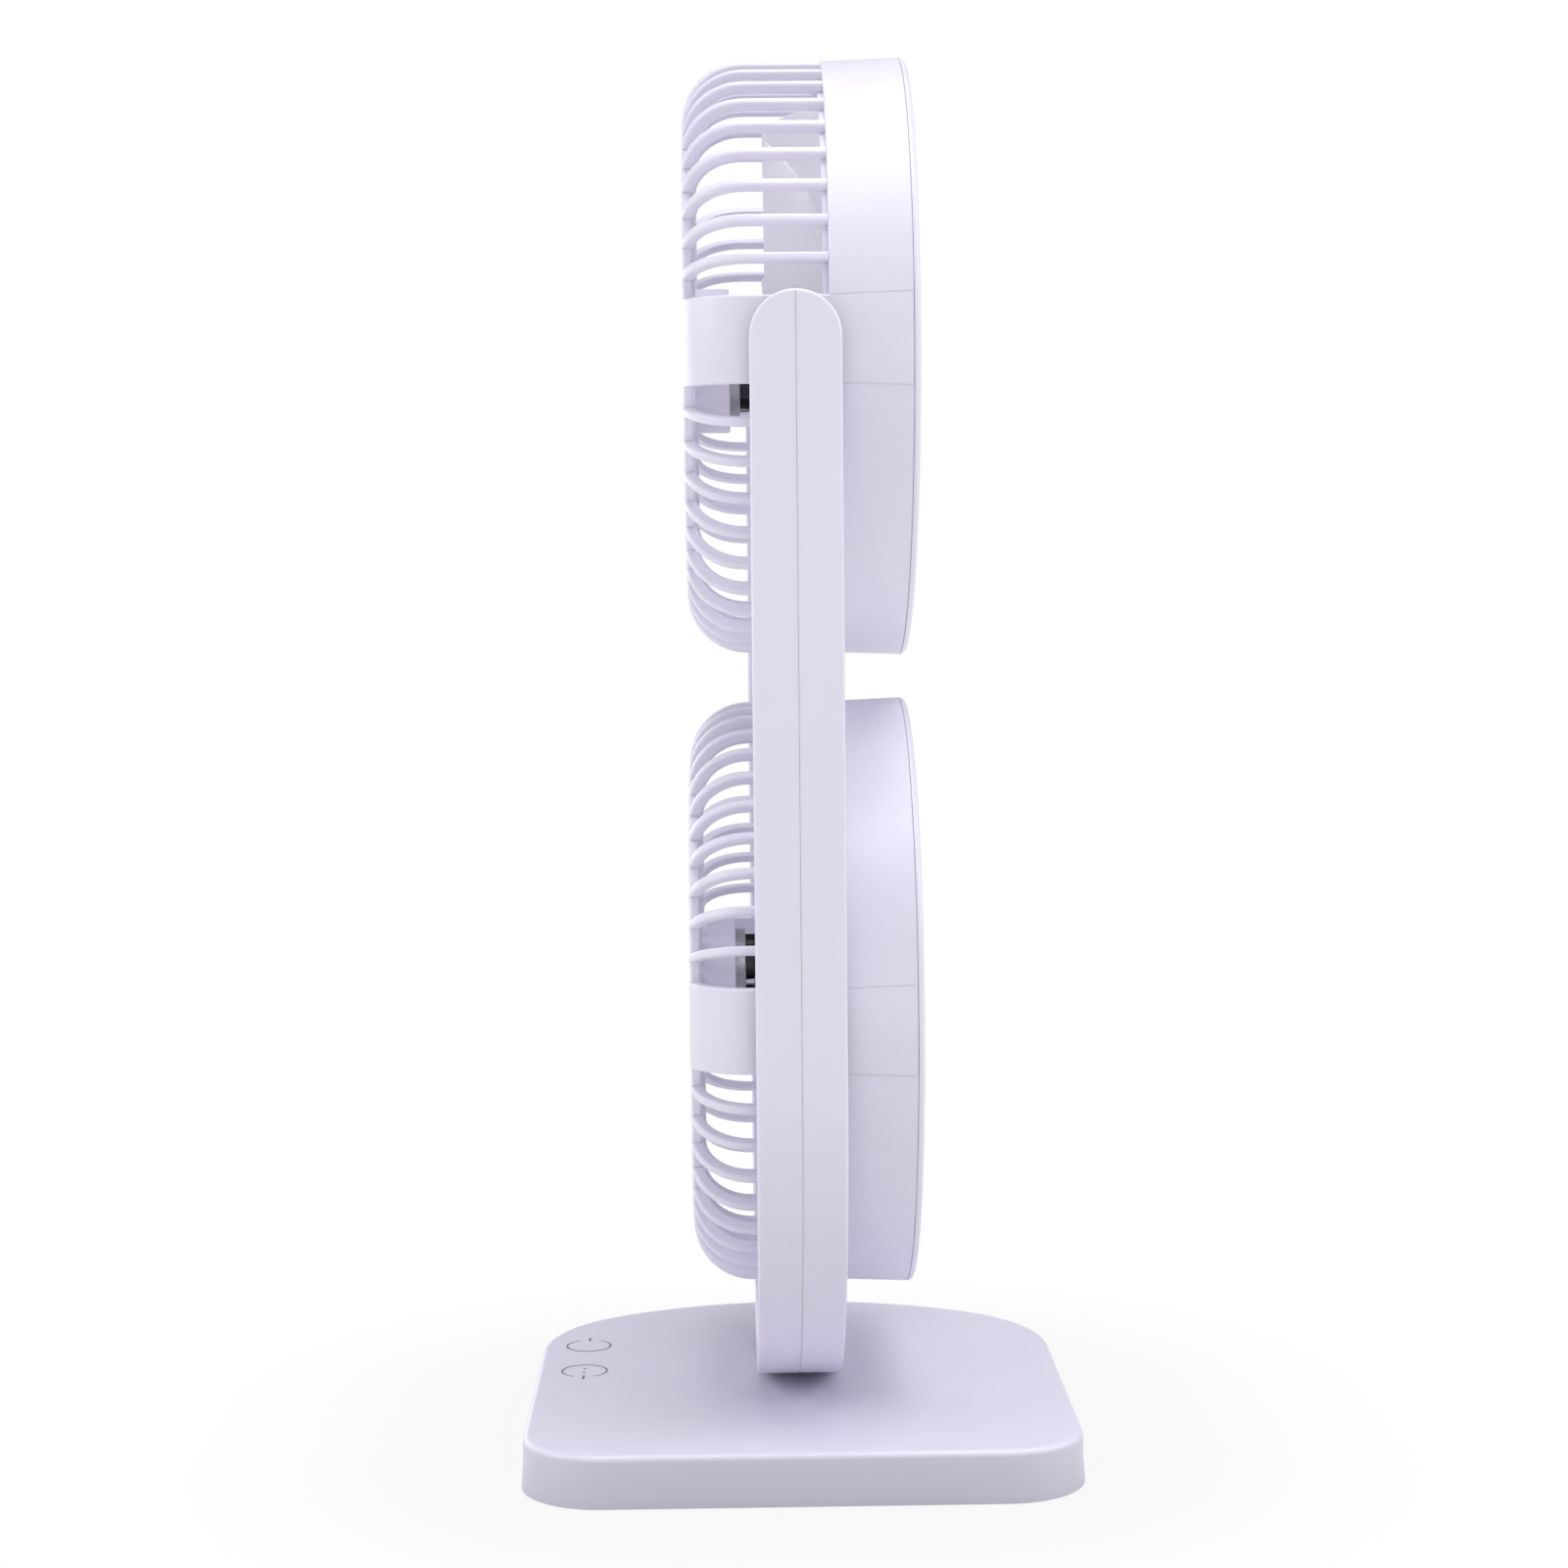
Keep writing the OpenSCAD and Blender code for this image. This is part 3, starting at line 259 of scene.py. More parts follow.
def plain_mesh(piece, modifier):
    """Puts the modifier's result in place of the piece's mesh, and removes the modifier."""
    evaluated = piece.evaluated_get(bpy.context.evaluated_depsgraph_get())
    made = bpy.data.meshes.new_from_object(evaluated)
    if not made.polygons:
        raise RuntimeError(f"{modifier.name} left nothing of {piece.name}")
    piece.modifiers.remove(modifier)
    piece.data = made


def cut(piece, tools, operation="DIFFERENCE"):
    """Applies one exact boolean for each tool to a piece, and removes the tools."""
    for tool in tools:
        modifier = piece.modifiers.new("cut", "BOOLEAN")
        modifier.operation = operation
        modifier.solver = "EXACT"
        modifier.object = tool
        plain_mesh(piece, modifier)
        bpy.data.objects.remove(tool)
    piece.data.set_sharp_from_angle(angle=math.radians(28))


def rod(name, start, end, radius, material, sides=48):
    """A plain round bar between two points, as a tool for a boolean."""
    along = (Vector(end) - Vector(start)).normalized()
    side = along.orthogonal().normalized()
    other = along.cross(side)
    turns = [2 * math.pi * i / sides for i in range(sides)]
    rings = [[Vector(at) + radius * (math.cos(a) * side + math.sin(a) * other) for a in turns]
             for at in (start, end)]
    return as_object(name, outward(lofted(rings)), material)


def dress(piece, body, slot, *replaced):
    """Puts a piece on its body, with normals that keep its large faces flat."""
    modifier = piece.modifiers.new("flat faces", "WEIGHTED_NORMAL")
    modifier.keep_sharp = True
    plain_mesh(piece, modifier)
    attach(piece, body)
    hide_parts(*replaced)


shell_plastic = surface("satin white plastic", (0.80, 0.765, 0.875), (0.79, 0.755, 0.865), (0.3, 0.38))
shell_body = node_of(shell_plastic, "BSDF_PRINCIPLED")
shell_body.inputs["Subsurface Weight"].default_value = 0.3
shell_body.inputs["Subsurface Radius"].default_value = (1, 0.95, 1)
shell_body.inputs["Subsurface Scale"].default_value = 1.2 * MM
base_lo, base_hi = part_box("base_top_cover")
base_corner_r, base_bow_r, base_bow_corner_r = 21 * MM, 95 * MM, 45 * MM
base_edge_r, base_wall, base_flare = 1.6 * MM, 2.2 * MM, 0.5 * MM
flare_middle, flare_top = base_lo.z + 3.4 * MM, base_lo.z + 6.7 * MM
base_half_depth = base_hi.y - base_flare
base_straight_x, base_bow_x = base_hi.x - base_flare, base_lo.x + base_flare
post_hole_r = 6.05 * MM


def base_outline(inset):
    """The base's outline from above, drawn in by a distance, anticlockwise."""
    bow_cx = base_bow_x + base_bow_r
    corner_cy = base_half_depth - base_bow_corner_r
    corner_cx = bow_cx - math.sqrt((base_bow_r - base_bow_corner_r) ** 2 - corner_cy ** 2)
    bow_a = math.degrees(math.atan2(corner_cy, corner_cx - bow_cx))
    near = (base_straight_x - base_corner_r, base_half_depth - base_corner_r)
    half = (arc(near, base_corner_r - inset, 0, 90, 24)
            + arc((corner_cx, corner_cy), base_bow_corner_r - inset, 90, bow_a, 20)
            + arc((bow_cx, 0), base_bow_r - inset, bow_a, 180, 20)[1:])
    return half + [(x, -y) for x, y in reversed(half[:-1])]


def base_cover_mesh():
    outer = [(-base_flare, base_lo.z), (-base_flare * 0.5, flare_middle), (0, flare_top)]
    outer += [(base_edge_r * (1 - math.cos(a)), base_hi.z - base_edge_r * (1 - math.sin(a)))
              for a in (math.radians(10 * i) for i in range(10))]
    steps = outer + [(base_wall, base_lo.z), (base_wall, base_hi.z - base_wall)]
    mesh = bmesh.new()
    loops = [[mesh.verts.new((x, y, z)) for x, y in base_outline(inset)] for inset, z in steps]
    for z in (base_hi.z, base_hi.z - base_wall):
        loops.append([mesh.verts.new((x, y, z)) for x, y in arc((0, 0), post_hole_r, 0, 352.5, 47)])

    def wall(a, b):
        for i in range(len(a)):
            j = (i + 1) % len(a)
            mesh.faces.new((a[i], a[j], b[j], b[i]))

    foot, top = loops[0], loops[len(outer) - 1]
    inner_foot, inner_top, hole_top, hole_under = loops[len(outer):]
    for a, b in zip(loops[:len(outer) - 1], loops[1:len(outer)]):
        wall(a, b)
    wall(inner_foot, foot)
    wall(inner_top, inner_foot)
    wall(hole_under, hole_top)
    for edge_loop, hole in ((top, hole_top), (inner_top, hole_under)):
        edges = []
        for ring in (edge_loop, hole):
            for i in range(len(ring)):
                pair = (ring[i], ring[(i + 1) % len(ring)])
                edges.append(mesh.edges.get(pair) or mesh.edges.new(pair))
        bmesh.ops.triangle_fill(mesh, edges=edges, use_beauty=True)
    bmesh.ops.recalc_face_normals(mesh, faces=mesh.faces)
    return mesh


base_cover = as_object("base_cover", base_cover_mesh(), shell_plastic, 50)
socket_lo, socket_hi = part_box("usb_socket")
slot_play, slot_reach = 0.05 * MM, 4 * MM
slot_r = (socket_hi.z - socket_lo.z) / 2 + slot_play
slot_x, slot_z = (socket_hi.x + socket_lo.x) / 2, (socket_hi.z + socket_lo.z) / 2
slot_half = (socket_hi.x - socket_lo.x) / 2 - slot_r + 2 * slot_play
slot_section = (arc((slot_x + slot_half, slot_z), slot_r, -90, 90, 12)
                + arc((slot_x - slot_half, slot_z), slot_r, 90, 270, 12))
slot_rings = [[(x, y, z) for x, z in slot_section]
              for y in (base_half_depth - slot_reach, base_half_depth + slot_reach)]
cut(base_cover, [as_object("slot_tool", outward(lofted(slot_rings)), shell_plastic)])
dress(base_cover, "base", "shell", "base_top_cover")


# Touch marks
# Two small signs in thin grey ink on the cover, each an open ring with a short bar in its gap,
# and a pair of dots in the second. The touch pads behind them are glued under the cover.
ink = surface("grey ink", (0.10, 0.10, 0.125), (0.16, 0.16, 0.19), (0.4, 0.6), cloud=300)
mark_r, mark_w, mark_gap, ink_t = 6.2 * MM, 0.55 * MM, 24, 0.03 * MM
mark_at = [Vector((-22, -59)) * MM, Vector((5, -59)) * MM]
bar_in, bar_out, bar_half = mark_r - 1.2 * MM, mark_r + 2.4 * MM, mark_w / 2
dot_r, dot_shift = 0.45 * MM, 2 * MM


def flat_shape(outline, low, high):
    return lofted([[(x, y, z) for x, y in outline] for z in (low, high)])


def inked(outline):
    return flat_shape(outline, base_hi.z, base_hi.z + ink_t)


def joined(parts):
    points, faces = [], []
    for part_points, part_faces in parts:
        faces += [tuple(i + len(points) for i in face) for face in part_faces]
        points += list(part_points)
    return points, faces


def open_ring(centre, side):
    """The mark's ring, which tapers towards its gap. The gap faces the side."""
    open_turn = 360 - 2 * mark_gap
    outer, inner = [], []
    for a in (mark_gap + open_turn * i / 48 for i in range(49)):
        half = mark_w / 2 * (0.35 + 0.65 * math.sin(math.pi * (a - mark_gap) / open_turn) ** 0.6)
        way = math.radians(a + (0 if side > 0 else 180))
        direction = Vector((math.cos(way), math.sin(way)))
        outer.append(centre + direction * (mark_r + half))
        inner.append(centre + direction * (mark_r - half))
    return [inked((outer[i], outer[i + 1], inner[i + 1], inner[i])) for i in range(48)]


mark_parts = []
for centre, side in zip(mark_at, (-1, 1)):
    mark_parts += open_ring(centre, side)
    start, end = side * bar_in, side * bar_out
    bar = [(start, -bar_half), (end, -bar_half), (end, bar_half), (start, bar_half)]
    mark_parts.append(inked([centre + Vector(p) for p in bar]))
for shift in (-dot_shift, dot_shift):
    mark_parts.append(inked(arc(mark_at[1] + Vector((shift, 0)), dot_r, 0, 345, 23)))
marks = as_object("printed_touch_marks", outward(joined(mark_parts)), ink)
dress(marks, "base", "mark", "touch_marks")


# Yoke
# A hollow U in two mouldings, front and rear, that meet in a fine line down the middle of each
# arm. Its outer edges are bevelled, and its arms end in half circles round the upper pivots.
joint_at = {joint["name"]: Vector(joint["pos_m"]) for joint in frame["joints"]}
head_heights = {"upper": joint_at["upper_head_tilt"].z, "lower": joint_at["lower_head_tilt"].z}
yoke_lo, yoke_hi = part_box("yoke_front_shell")
arm_half, yoke_half_w = -yoke_lo.y, yoke_hi.x
arm_t, yoke_wall, arm_bevel = 7 * MM, 1.7 * MM, 0.9 * MM
bend_r = 89 * MM
bend_z, floor_half = yoke_lo.z + bend_r, yoke_half_w - bend_r
parting = 0.03 * MM
bush_seat_r, bush_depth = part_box("pivot_bushes")[1].y + 0.02 * MM, 2.6 * MM
post_way_r, post_way_top = 6 * MM, yoke_lo.z + 2.6 * MM


def yoke_section():
    """Across a half arm: depth from the outer face, and distance from the parting line."""
    edge = -arm_half
    outside = [(0, 0)] + arc((arm_bevel, edge + arm_bevel), arm_bevel, 180, 270, 6)
    inside = arc((arm_t - arm_bevel, edge + arm_bevel), arm_bevel, 270, 360, 6) + [(arm_t, 0)]
    return outside + inside + [(arm_t - yoke_wall, 0), (arm_t - yoke_wall, edge + yoke_wall),
                               (yoke_wall, edge + yoke_wall), (yoke_wall, 0)]


def yoke_half(side):
    """One half, from the tip of one arm round the bend to the other. side is -1 for the front."""
    section = yoke_section()
    upper_z = head_heights["upper"]
    rings = []

    def ring(place):
        rings.append([place(depth, -side * reach) for depth, reach in section])

    def tip(hand, a):
        return lambda depth, reach: Vector((hand * (yoke_half_w - depth), reach * math.cos(a),
                                            upper_z + abs(reach) * math.sin(a)))

    def straight(hand, z):
        return lambda depth, reach: Vector((hand * (yoke_half_w - depth), reach, z))

    def bent(hand, a):
        return lambda depth, reach: Vector((hand * (floor_half + (bend_r - depth) * math.cos(a)), reach,
                                            bend_z - (bend_r - depth) * math.sin(a)))

    tip_turns = [math.radians(90 - 90 * i / 20) for i in range(20)]
    for a in tip_turns:
        ring(tip(1, a))
    for z in (upper_z, bend_z):
        ring(straight(1, z))
    bend_turns = [math.radians(90 * i / 60) for i in range(1, 61)]
    for a in bend_turns:
        ring(bent(1, a))
    for a in reversed(bend_turns):
        ring(bent(-1, a))
    for z in (bend_z, upper_z):
        ring(straight(-1, z))
    for a in reversed(tip_turns):
        ring(tip(-1, a))
    return lofted(rings)


def block(name, low, high, material):
    """A plain box, as a tool for a boolean."""
    corners = [(low[0], low[1]), (high[0], low[1]), (high[0], high[1]), (low[0], high[1])]
    return as_object(name, outward(flat_shape(corners, low[2], high[2])), material)


yoke_screw_a = math.radians(42)
bend_mid_r = bend_r - arm_t / 2
arm_mid_x = yoke_half_w - arm_t / 2
yoke_screw_at = [(arm_mid_x, head_heights["upper"] - 30 * MM), (arm_mid_x, head_heights["lower"] + 30 * MM),
                 (floor_half + bend_mid_r * math.cos(yoke_screw_a),
                  bend_z - bend_mid_r * math.sin(yoke_screw_a))]
screw_post_r, screw_way_r = 1.78 * MM, 1.7 * MM
screw_post_y, screw_seat_y, screw_way_y = 10 * MM, 9.6 * MM, 12 * MM
seat_from, seat_to = yoke_half_w - arm_t - MM, yoke_half_w - arm_t + bush_depth
for half_name, side in (("front", -1), ("rear", 1)):
    half = as_object(f"yoke_{half_name}", outward(yoke_half(side)), shell_plastic, 28)
    near, far = (-parting, MM) if side < 0 else (-MM, parting)
    tools = [block("parting", (-0.1, near, 0), (0.1, far, 0.4), shell_plastic)]
    tools += [rod("seat", (s * seat_from, 0, z), (s * seat_to, 0, z), bush_seat_r, shell_plastic)
              for z in head_heights.values() for s in (-1, 1)]
    tools.append(rod("post_way", (0, 0, yoke_lo.z - MM), (0, 0, post_way_top), post_way_r, shell_plastic))
    cut(half, tools)
    if side > 0:
        cut(half, [rod("screw_post", (x, parting, z), (x, screw_post_y, z), screw_post_r, shell_plastic, 24)
                   for x, z in yoke_screw_at], "UNION")
        cut(half, [rod("screw_way", (x, screw_seat_y, z), (x, screw_way_y, z), screw_way_r, shell_plastic, 24)
                   for x, z in yoke_screw_at])
    dress(half, "yoke", "shell", f"yoke_{half_name}_shell")


# Front grille
# One moulding of curved ribs, rings, the cup that holds the motor and a smooth panel at each
# pivot, whose tail lies flush in the casing. Every other rib stops at the middle ring.
head_front, casing_front, casing_rear = -28 * MM, 8.6 * MM, 29.4 * MM
cage_r, cage_corner_r, head_r = 79.2 * MM, 16 * MM, 80 * MM
rib_count, rib_t, rib_depth = 48, 2.3 * MM, 3 * MM
mid_ring_r, ring_w, ring_inset, cup_r = 42 * MM, 2.4 * MM, 0.3 * MM, 19.4 * MM
outer_ring_r = cage_r - cage_corner_r + ring_w
panel_half_h, panel_flare, tail_t = 10.8 * MM, 0.7 * MM, 1.2 * MM
panel_edge, tail_edge, panel_flat_share = 0.35 * MM, 0.042 * MM, 0.97
panel_turn = math.asin((panel_half_h + rib_t) / cage_r)


def rounded_box(width, depth, r_out, r_in):
    """A rib's cross-section: distance across, and depth below its outer face."""
    half = width / 2
    return (arc((half - r_out, r_out), r_out, 270, 360, 4)
            + arc((half - r_in, depth - r_in), r_in, 0, 90, 3)
            + arc((r_in - half, depth - r_in), r_in, 90, 180, 3)
            + arc((r_out - half, r_out), r_out, 180, 270, 4))


def cage_line(start_r, end_y):
    """The cage's outer line as (radius, y, outward normal): flat front, round corner, wall."""
    corner = (cage_r - cage_corner_r, head_front + cage_corner_r)
    line = [(start_r, head_front, (0, -1))]
    for i in range(13):
        a = math.radians(-90 + 90 * i / 12)
        line.append((corner[0] + cage_corner_r * math.cos(a), corner[1] + cage_corner_r * math.sin(a),
                     (math.cos(a), math.sin(a))))
    return line + [(cage_r, end_y, (1, 0))]


def rib_mesh(start_r):
    section = rounded_box(rib_t, rib_depth, 0.75 * MM, 0.4 * MM)
    return lofted([[Vector((r - normal[0] * depth, y - normal[1] * depth, across))
                    for across, depth in section]
                   for r, y, normal in cage_line(start_r, casing_front)])


def raised(made, height):
    return [Vector(p) + Vector((0, 0, height)) for p in made[0]], made[1]


def revolved(profile, steps):
    """A closed profile of (radius, y) turned about the Y axis."""
    turns = [math.radians(360 * i / steps) for i in range(steps)]
    rings = [[Vector((r * math.cos(a), y, r * math.sin(a))) for r, y in profile] for a in turns]
    return lofted(rings + [rings[0]], cap=False)


def turned(name, profile, height, material, steps=144, sharp=35):
    """A turned piece of the head whose axis lies at a height."""
    return as_object(name, outward(raised(revolved(profile, steps), height)), material, sharp)


def ring_profile(r_out, width, front, depth, edge=0.5 * MM):
    return [(r_out - width / 2 + x, front + d) for x, d in rounded_box(width, depth, edge, edge)]


def copies_tree():
    """Copies a shape round the head's axis (Y), leaving out those beside the side panels."""
    tree = bpy.data.node_groups.new("copies round the axis", "GeometryNodeTree")
    kinds = {"Shape": "Geometry", "Count": "Int", "Pitch": "Float", "First turn": "Float",
             "Panel sine": "Float", "Centre height": "Float", "Finish": "Material"}
    for name, kind in kinds.items():
        tree.interface.new_socket(name, in_out="INPUT", socket_type=f"NodeSocket{kind}")
    tree.interface.new_socket("Shape", in_out="OUTPUT", socket_type="NodeSocketGeometry")
    given = add_node(tree, "NodeGroupInput").outputs
    height = add_node(tree, "ShaderNodeCombineXYZ", {"Z": given["Centre height"]})
    points = add_node(tree, "GeometryNodePoints", {"Count": given["Count"], "Position": height.outputs[0]})
    index = add_node(tree, "GeometryNodeInputIndex").outputs[0]
    turn = maths(tree, "ADD", maths(tree, "MULTIPLY", index, given["Pitch"]), given["First turn"])
    from_panel = maths(tree, "ABSOLUTE", maths(tree, "SINE", turn))
    rotation = add_node(tree, "ShaderNodeCombineXYZ", {"Y": turn})
    copies = add_node(tree, "GeometryNodeInstanceOnPoints", {
        "Points": points.outputs[0], "Instance": given["Shape"], "Rotation": rotation.outputs[0],
        "Selection": maths(tree, "GREATER_THAN", from_panel, given["Panel sine"])})
    real = add_node(tree, "GeometryNodeRealizeInstances", {0: copies.outputs[0]})
    finish = add_node(tree, "GeometryNodeSetMaterial", {
        "Geometry": real.outputs[0], "Material": given["Finish"]})
    add_node(tree, "NodeGroupOutput", {0: finish.outputs[0]})
    return tree


copies_round = copies_tree()


def copied(name, made, count, material, height, first=0.0, panel_sine=-1.0, sharp=35):
    """The shape copied evenly round a head's axis by the tree, as one plain mesh."""
    piece = as_object(name, outward(made), material, sharp)
    modifier = piece.modifiers.new("copies", "NODES")
    modifier.node_group = copies_round
    values = {"Count": count, "Pitch": 2 * math.pi / count, "First turn": first, "Panel sine": panel_sine,
              "Centre height": height, "Finish": material}
    for item in copies_round.interface.items_tree:
        if item.in_out == "INPUT" and item.name in values:
            modifier[item.identifier] = values[item.name]
    plain_mesh(piece, modifier)
    return piece


def merged_into(piece, others):
    """One object of several, keeping their smooth and sharp edges."""
    with bpy.context.temp_override(active_object=piece, selected_editable_objects=[piece, *others]):
        bpy.ops.object.join()
    return piece


def back_share(y):
    """How far back in the casing a place is, from 0 at its front to 1 at its rear."""
    return max(0, min(1, (y - casing_front) / (casing_rear - casing_front)))


def side_panel(side):
    """The smooth panel at a pivot, bent with the cage, and its thin tail in the casing."""
    front = cage_line(outer_ring_r - ring_w, casing_front)
    outer = [(r, y) for r, y, n in front]
    tail = [(cage_r, casing_front + 0.3 * MM), (head_r - 0.35 * MM, casing_rear - 9 * MM),
            (head_r - 0.02 * MM, casing_rear - 0.05 * MM)]
    inside = [(r - tail_t, y) for r, y in reversed(tail)]
    inside += [(r - n[0] * rib_depth, y - n[1] * rib_depth) for r, y, n in reversed(front)]
    edges = [panel_edge] * len(outer) + [tail_edge] * len(tail) + [-tail_edge] * len(inside)
    shares = [-1] + [t / 8 * panel_flat_share for t in range(-8, 9)] + [1]
    rings = []
    for share in shares:
        ring = []
        for (r, y), edge in zip(outer + tail + inside, edges):
            z = share * (panel_half_h + back_share(y) * panel_flare)
            lowered = r - edge if abs(share) == 1 else r
            ring.append(Vector((side * math.sqrt(lowered ** 2 - z ** 2), y, z)))
        rings.append(ring)
    return lofted(rings)


cup_wall, cup_front, cup_back = 1.6 * MM, head_front + MM, head_front + 12 * MM
cup_profile = [(0.2 * MM, cup_front), (cup_r - 0.5 * MM, cup_front), (cup_r, cup_front + 0.5 * MM),
               (cup_r, cup_back - 0.4 * MM), (cup_r - 0.4 * MM, cup_back),
               (cup_r - cup_wall + 0.3 * MM, cup_back), (cup_r - cup_wall, cup_back - 0.3 * MM),
               (cup_r - cup_wall, cup_front + 2 * MM), (0.2 * MM, cup_front + 2 * MM)]
spigot_r, spigot_w, spigot_ahead, spigot_len = (v * MM for v in (76.7, 2, 1.4, 4.3))
pin_r, pin_bore_in, pin_bore_out = 5 * MM, 70 * MM, 82 * MM
boss_r, boss_in, boss_out = 8 * MM, 71 * MM, cage_r - rib_depth + MM
for head, pivot_z in head_heights.items():
    parts = []
    for kind, start_r, first in (("long", cup_r - MM, 0), ("short", mid_ring_r - ring_w / 2, 1)):
        parts.append(copied(f"{head}_{kind}_ribs", rib_mesh(start_r), rib_count // 2, shell_plastic, pivot_z,
                            first * 2 * math.pi / rib_count, math.sin(panel_turn)))
    spoke_section = rounded_box(rib_t, rib_depth - ring_inset, 0.6 * MM, 0.4 * MM)
    spoke = lofted([[Vector((r, head_front + ring_inset / 2 + d, x)) for x, d in spoke_section]
                    for r in (cup_r - MM, outer_ring_r - ring_w / 2)])
    parts.append(copied(f"{head}_side_spokes", spoke, 2, shell_plastic, pivot_z))
    for r in (outer_ring_r, mid_ring_r):
        profile = ring_profile(r, ring_w, head_front + ring_inset, rib_depth - 2 * ring_inset)
        parts.append(turned(f"{head}_ring", profile, pivot_z, shell_plastic))
    parts.append(turned(f"{head}_cup", cup_profile, pivot_z, shell_plastic))
    profile = ring_profile(spigot_r, spigot_w, casing_front - spigot_ahead, spigot_len, 0.3 * MM)
    parts.append(turned(f"{head}_spigot", profile, pivot_z, shell_plastic))
    for side in (-1, 1):
        panel = as_object(f"{head}_panel", outward(raised(side_panel(side), pivot_z)), shell_plastic)
        cut(panel, [rod("boss", (side * boss_in, 0, pivot_z), (side * boss_out, 0, pivot_z), boss_r,
                        shell_plastic)], "UNION")
        cut(panel, [rod("bore", (side * pin_bore_in, 0, pivot_z), (side * pin_bore_out, 0, pivot_z), pin_r,
                        shell_plastic)])
        parts.append(panel)
    grille = merged_into(parts[0], parts[1:])
    grille.name = f"{head}_grille"
    dress(grille, f"{head}_head", "shell", f"{head}_front_grille")


# Impeller
# Seven thin blades, twisted and cambered, moulded in one piece with the hub that presses on the
# motor shaft. The plastic is whiter and glossier than the shells, and lets some light through.
blade_plastic = surface("glossy white plastic", (0.93, 0.92, 0.96), (0.92, 0.91, 0.95), (0.2, 0.28))
tree = blade_plastic.node_tree
thin = add_node(tree, "ShaderNodeBsdfTranslucent", {"Color": (0.97, 0.965, 0.985, 1)})
mix = add_node(tree, "ShaderNodeMixShader", {
    "Fac": 0.5, 1: node_of(blade_plastic, "BSDF_PRINCIPLED").outputs[0], 2: thin.outputs[0]})
tree.links.new(mix.outputs[0], node_of(blade_plastic, "OUTPUT_MATERIAL").inputs["Surface"])
impeller_front, impeller_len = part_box("upper_impeller")[0].y, 24 * MM
blade_count, blade_tip_r, hub_r, blade_t = 7, 66.5 * MM, 18 * MM, 1.5 * MM
blade_phase, blade_sweep, chord_ahead = math.radians(26.5), math.radians(16), 0.35
root_chord, tip_chord, root_in = math.radians(40), math.radians(30), 1.5 * MM
root_len_share, tip_len_loss, camber = 0.94, 0.34, 0.1
shaft_r, hub_wall, hub_round, hub_boss_r = 1.5 * MM, 1.6 * MM, 2 * MM, 4.5 * MM


def blade_mid(s, u):
    """A point of the blade's middle surface: s from root to tip, u across the chord."""
    r = hub_r - root_in + s * (blade_tip_r - hub_r + root_in)
    chord = root_chord + (tip_chord - root_chord) * s
    length = impeller_len * (root_len_share - tip_len_loss * s * s)
    y = impeller_front + 0.4 * MM + length * (u + camber * math.sin(math.pi * u))
    a = blade_sweep * s - chord * (u - chord_ahead)
    return Vector((r * math.cos(a), y, r * math.sin(a)))


def blade_mesh(spans=16, chords=18):
    """A blade that thins towards both edges of its chord and at its tip."""
    rings = []
    for k in range(spans + 1):
        s = k / spans
        near, far = [], []
        for i in range(chords + 1):
            u = i / chords
            across = blade_mid(s, u + 0.01) - blade_mid(s, u - 0.01)
            along = blade_mid(s + 0.01, u) - blade_mid(s - 0.01, u)
            normal = across.cross(along).normalized()
            half = blade_t / 2 * (0.3 + 0.7 * math.sin(math.pi * (0.06 + 0.88 * u)))
            half *= 1 - 0.45 * max(0, s - 0.97) / 0.03
            near.append(blade_mid(s, u) + normal * half)
            far.append(blade_mid(s, u) - normal * half)
        rings.append(near + far[::-1])
    points, faces = lofted(rings, cap=False)
    count, last = len(rings[0]), len(rings) - 1
    for base, flip in ((0, True), (last * count, False)):
        for i in range(chords):
            quad = (base + i, base + i + 1, base + count - 2 - i, base + count - 1 - i)
            faces.append(tuple(reversed(quad)) if flip else quad)
    return points, faces


hub_end, hub_floor = impeller_front + impeller_len, impeller_front + 2 * MM
hub_profile = [(shaft_r, impeller_front), (hub_r - hub_round, impeller_front)]
hub_profile += [(hub_r - hub_round + hub_round * math.sin(a),
                 impeller_front + hub_round - hub_round * math.cos(a))
                for a in (math.radians(15 * i) for i in range(1, 7))]
hub_profile += [(hub_r, hub_end - 0.3 * MM), (hub_r - 0.3 * MM, hub_end), (hub_r - hub_wall, hub_end),
                (hub_r - hub_wall, hub_floor), (hub_boss_r, hub_floor), (hub_boss_r, hub_end),
                (shaft_r, hub_end)]
for head, pivot_z in head_heights.items():
    blades = copied(f"{head}_blades", blade_mesh(), blade_count, blade_plastic, pivot_z, -blade_phase,
                    sharp=50)
    fan = merged_into(blades, [turned(f"{head}_hub", hub_profile, pivot_z, blade_plastic, 96)])
    fan.name = f"{head}_fan_wheel"
    dress(fan, f"{head}_rotor", "blade", f"{head}_impeller")


# Rear casing
# A closed ring behind the cage, a little wider at its rear rim. The side panels of the grille lie
# in a shallow recess at each pivot, and four bosses inside take the screws of the rear cover.
tail_gap, tail_floor_gap, recess_out = 0.02 * MM, 0.1 * MM, 90 * MM
casing_bore_r, casing_lip, casing_rim = 76.8 * MM, 0.3 * MM, 0.15 * MM
casing_profile = [(casing_bore_r + casing_lip, casing_front), (cage_r - casing_lip, casing_front),
                  (cage_r, casing_front + casing_lip), (head_r, casing_rear - casing_rim),
                  (head_r - casing_rim, casing_rear), (casing_bore_r, casing_rear),
                  (casing_bore_r, casing_front + casing_lip)]


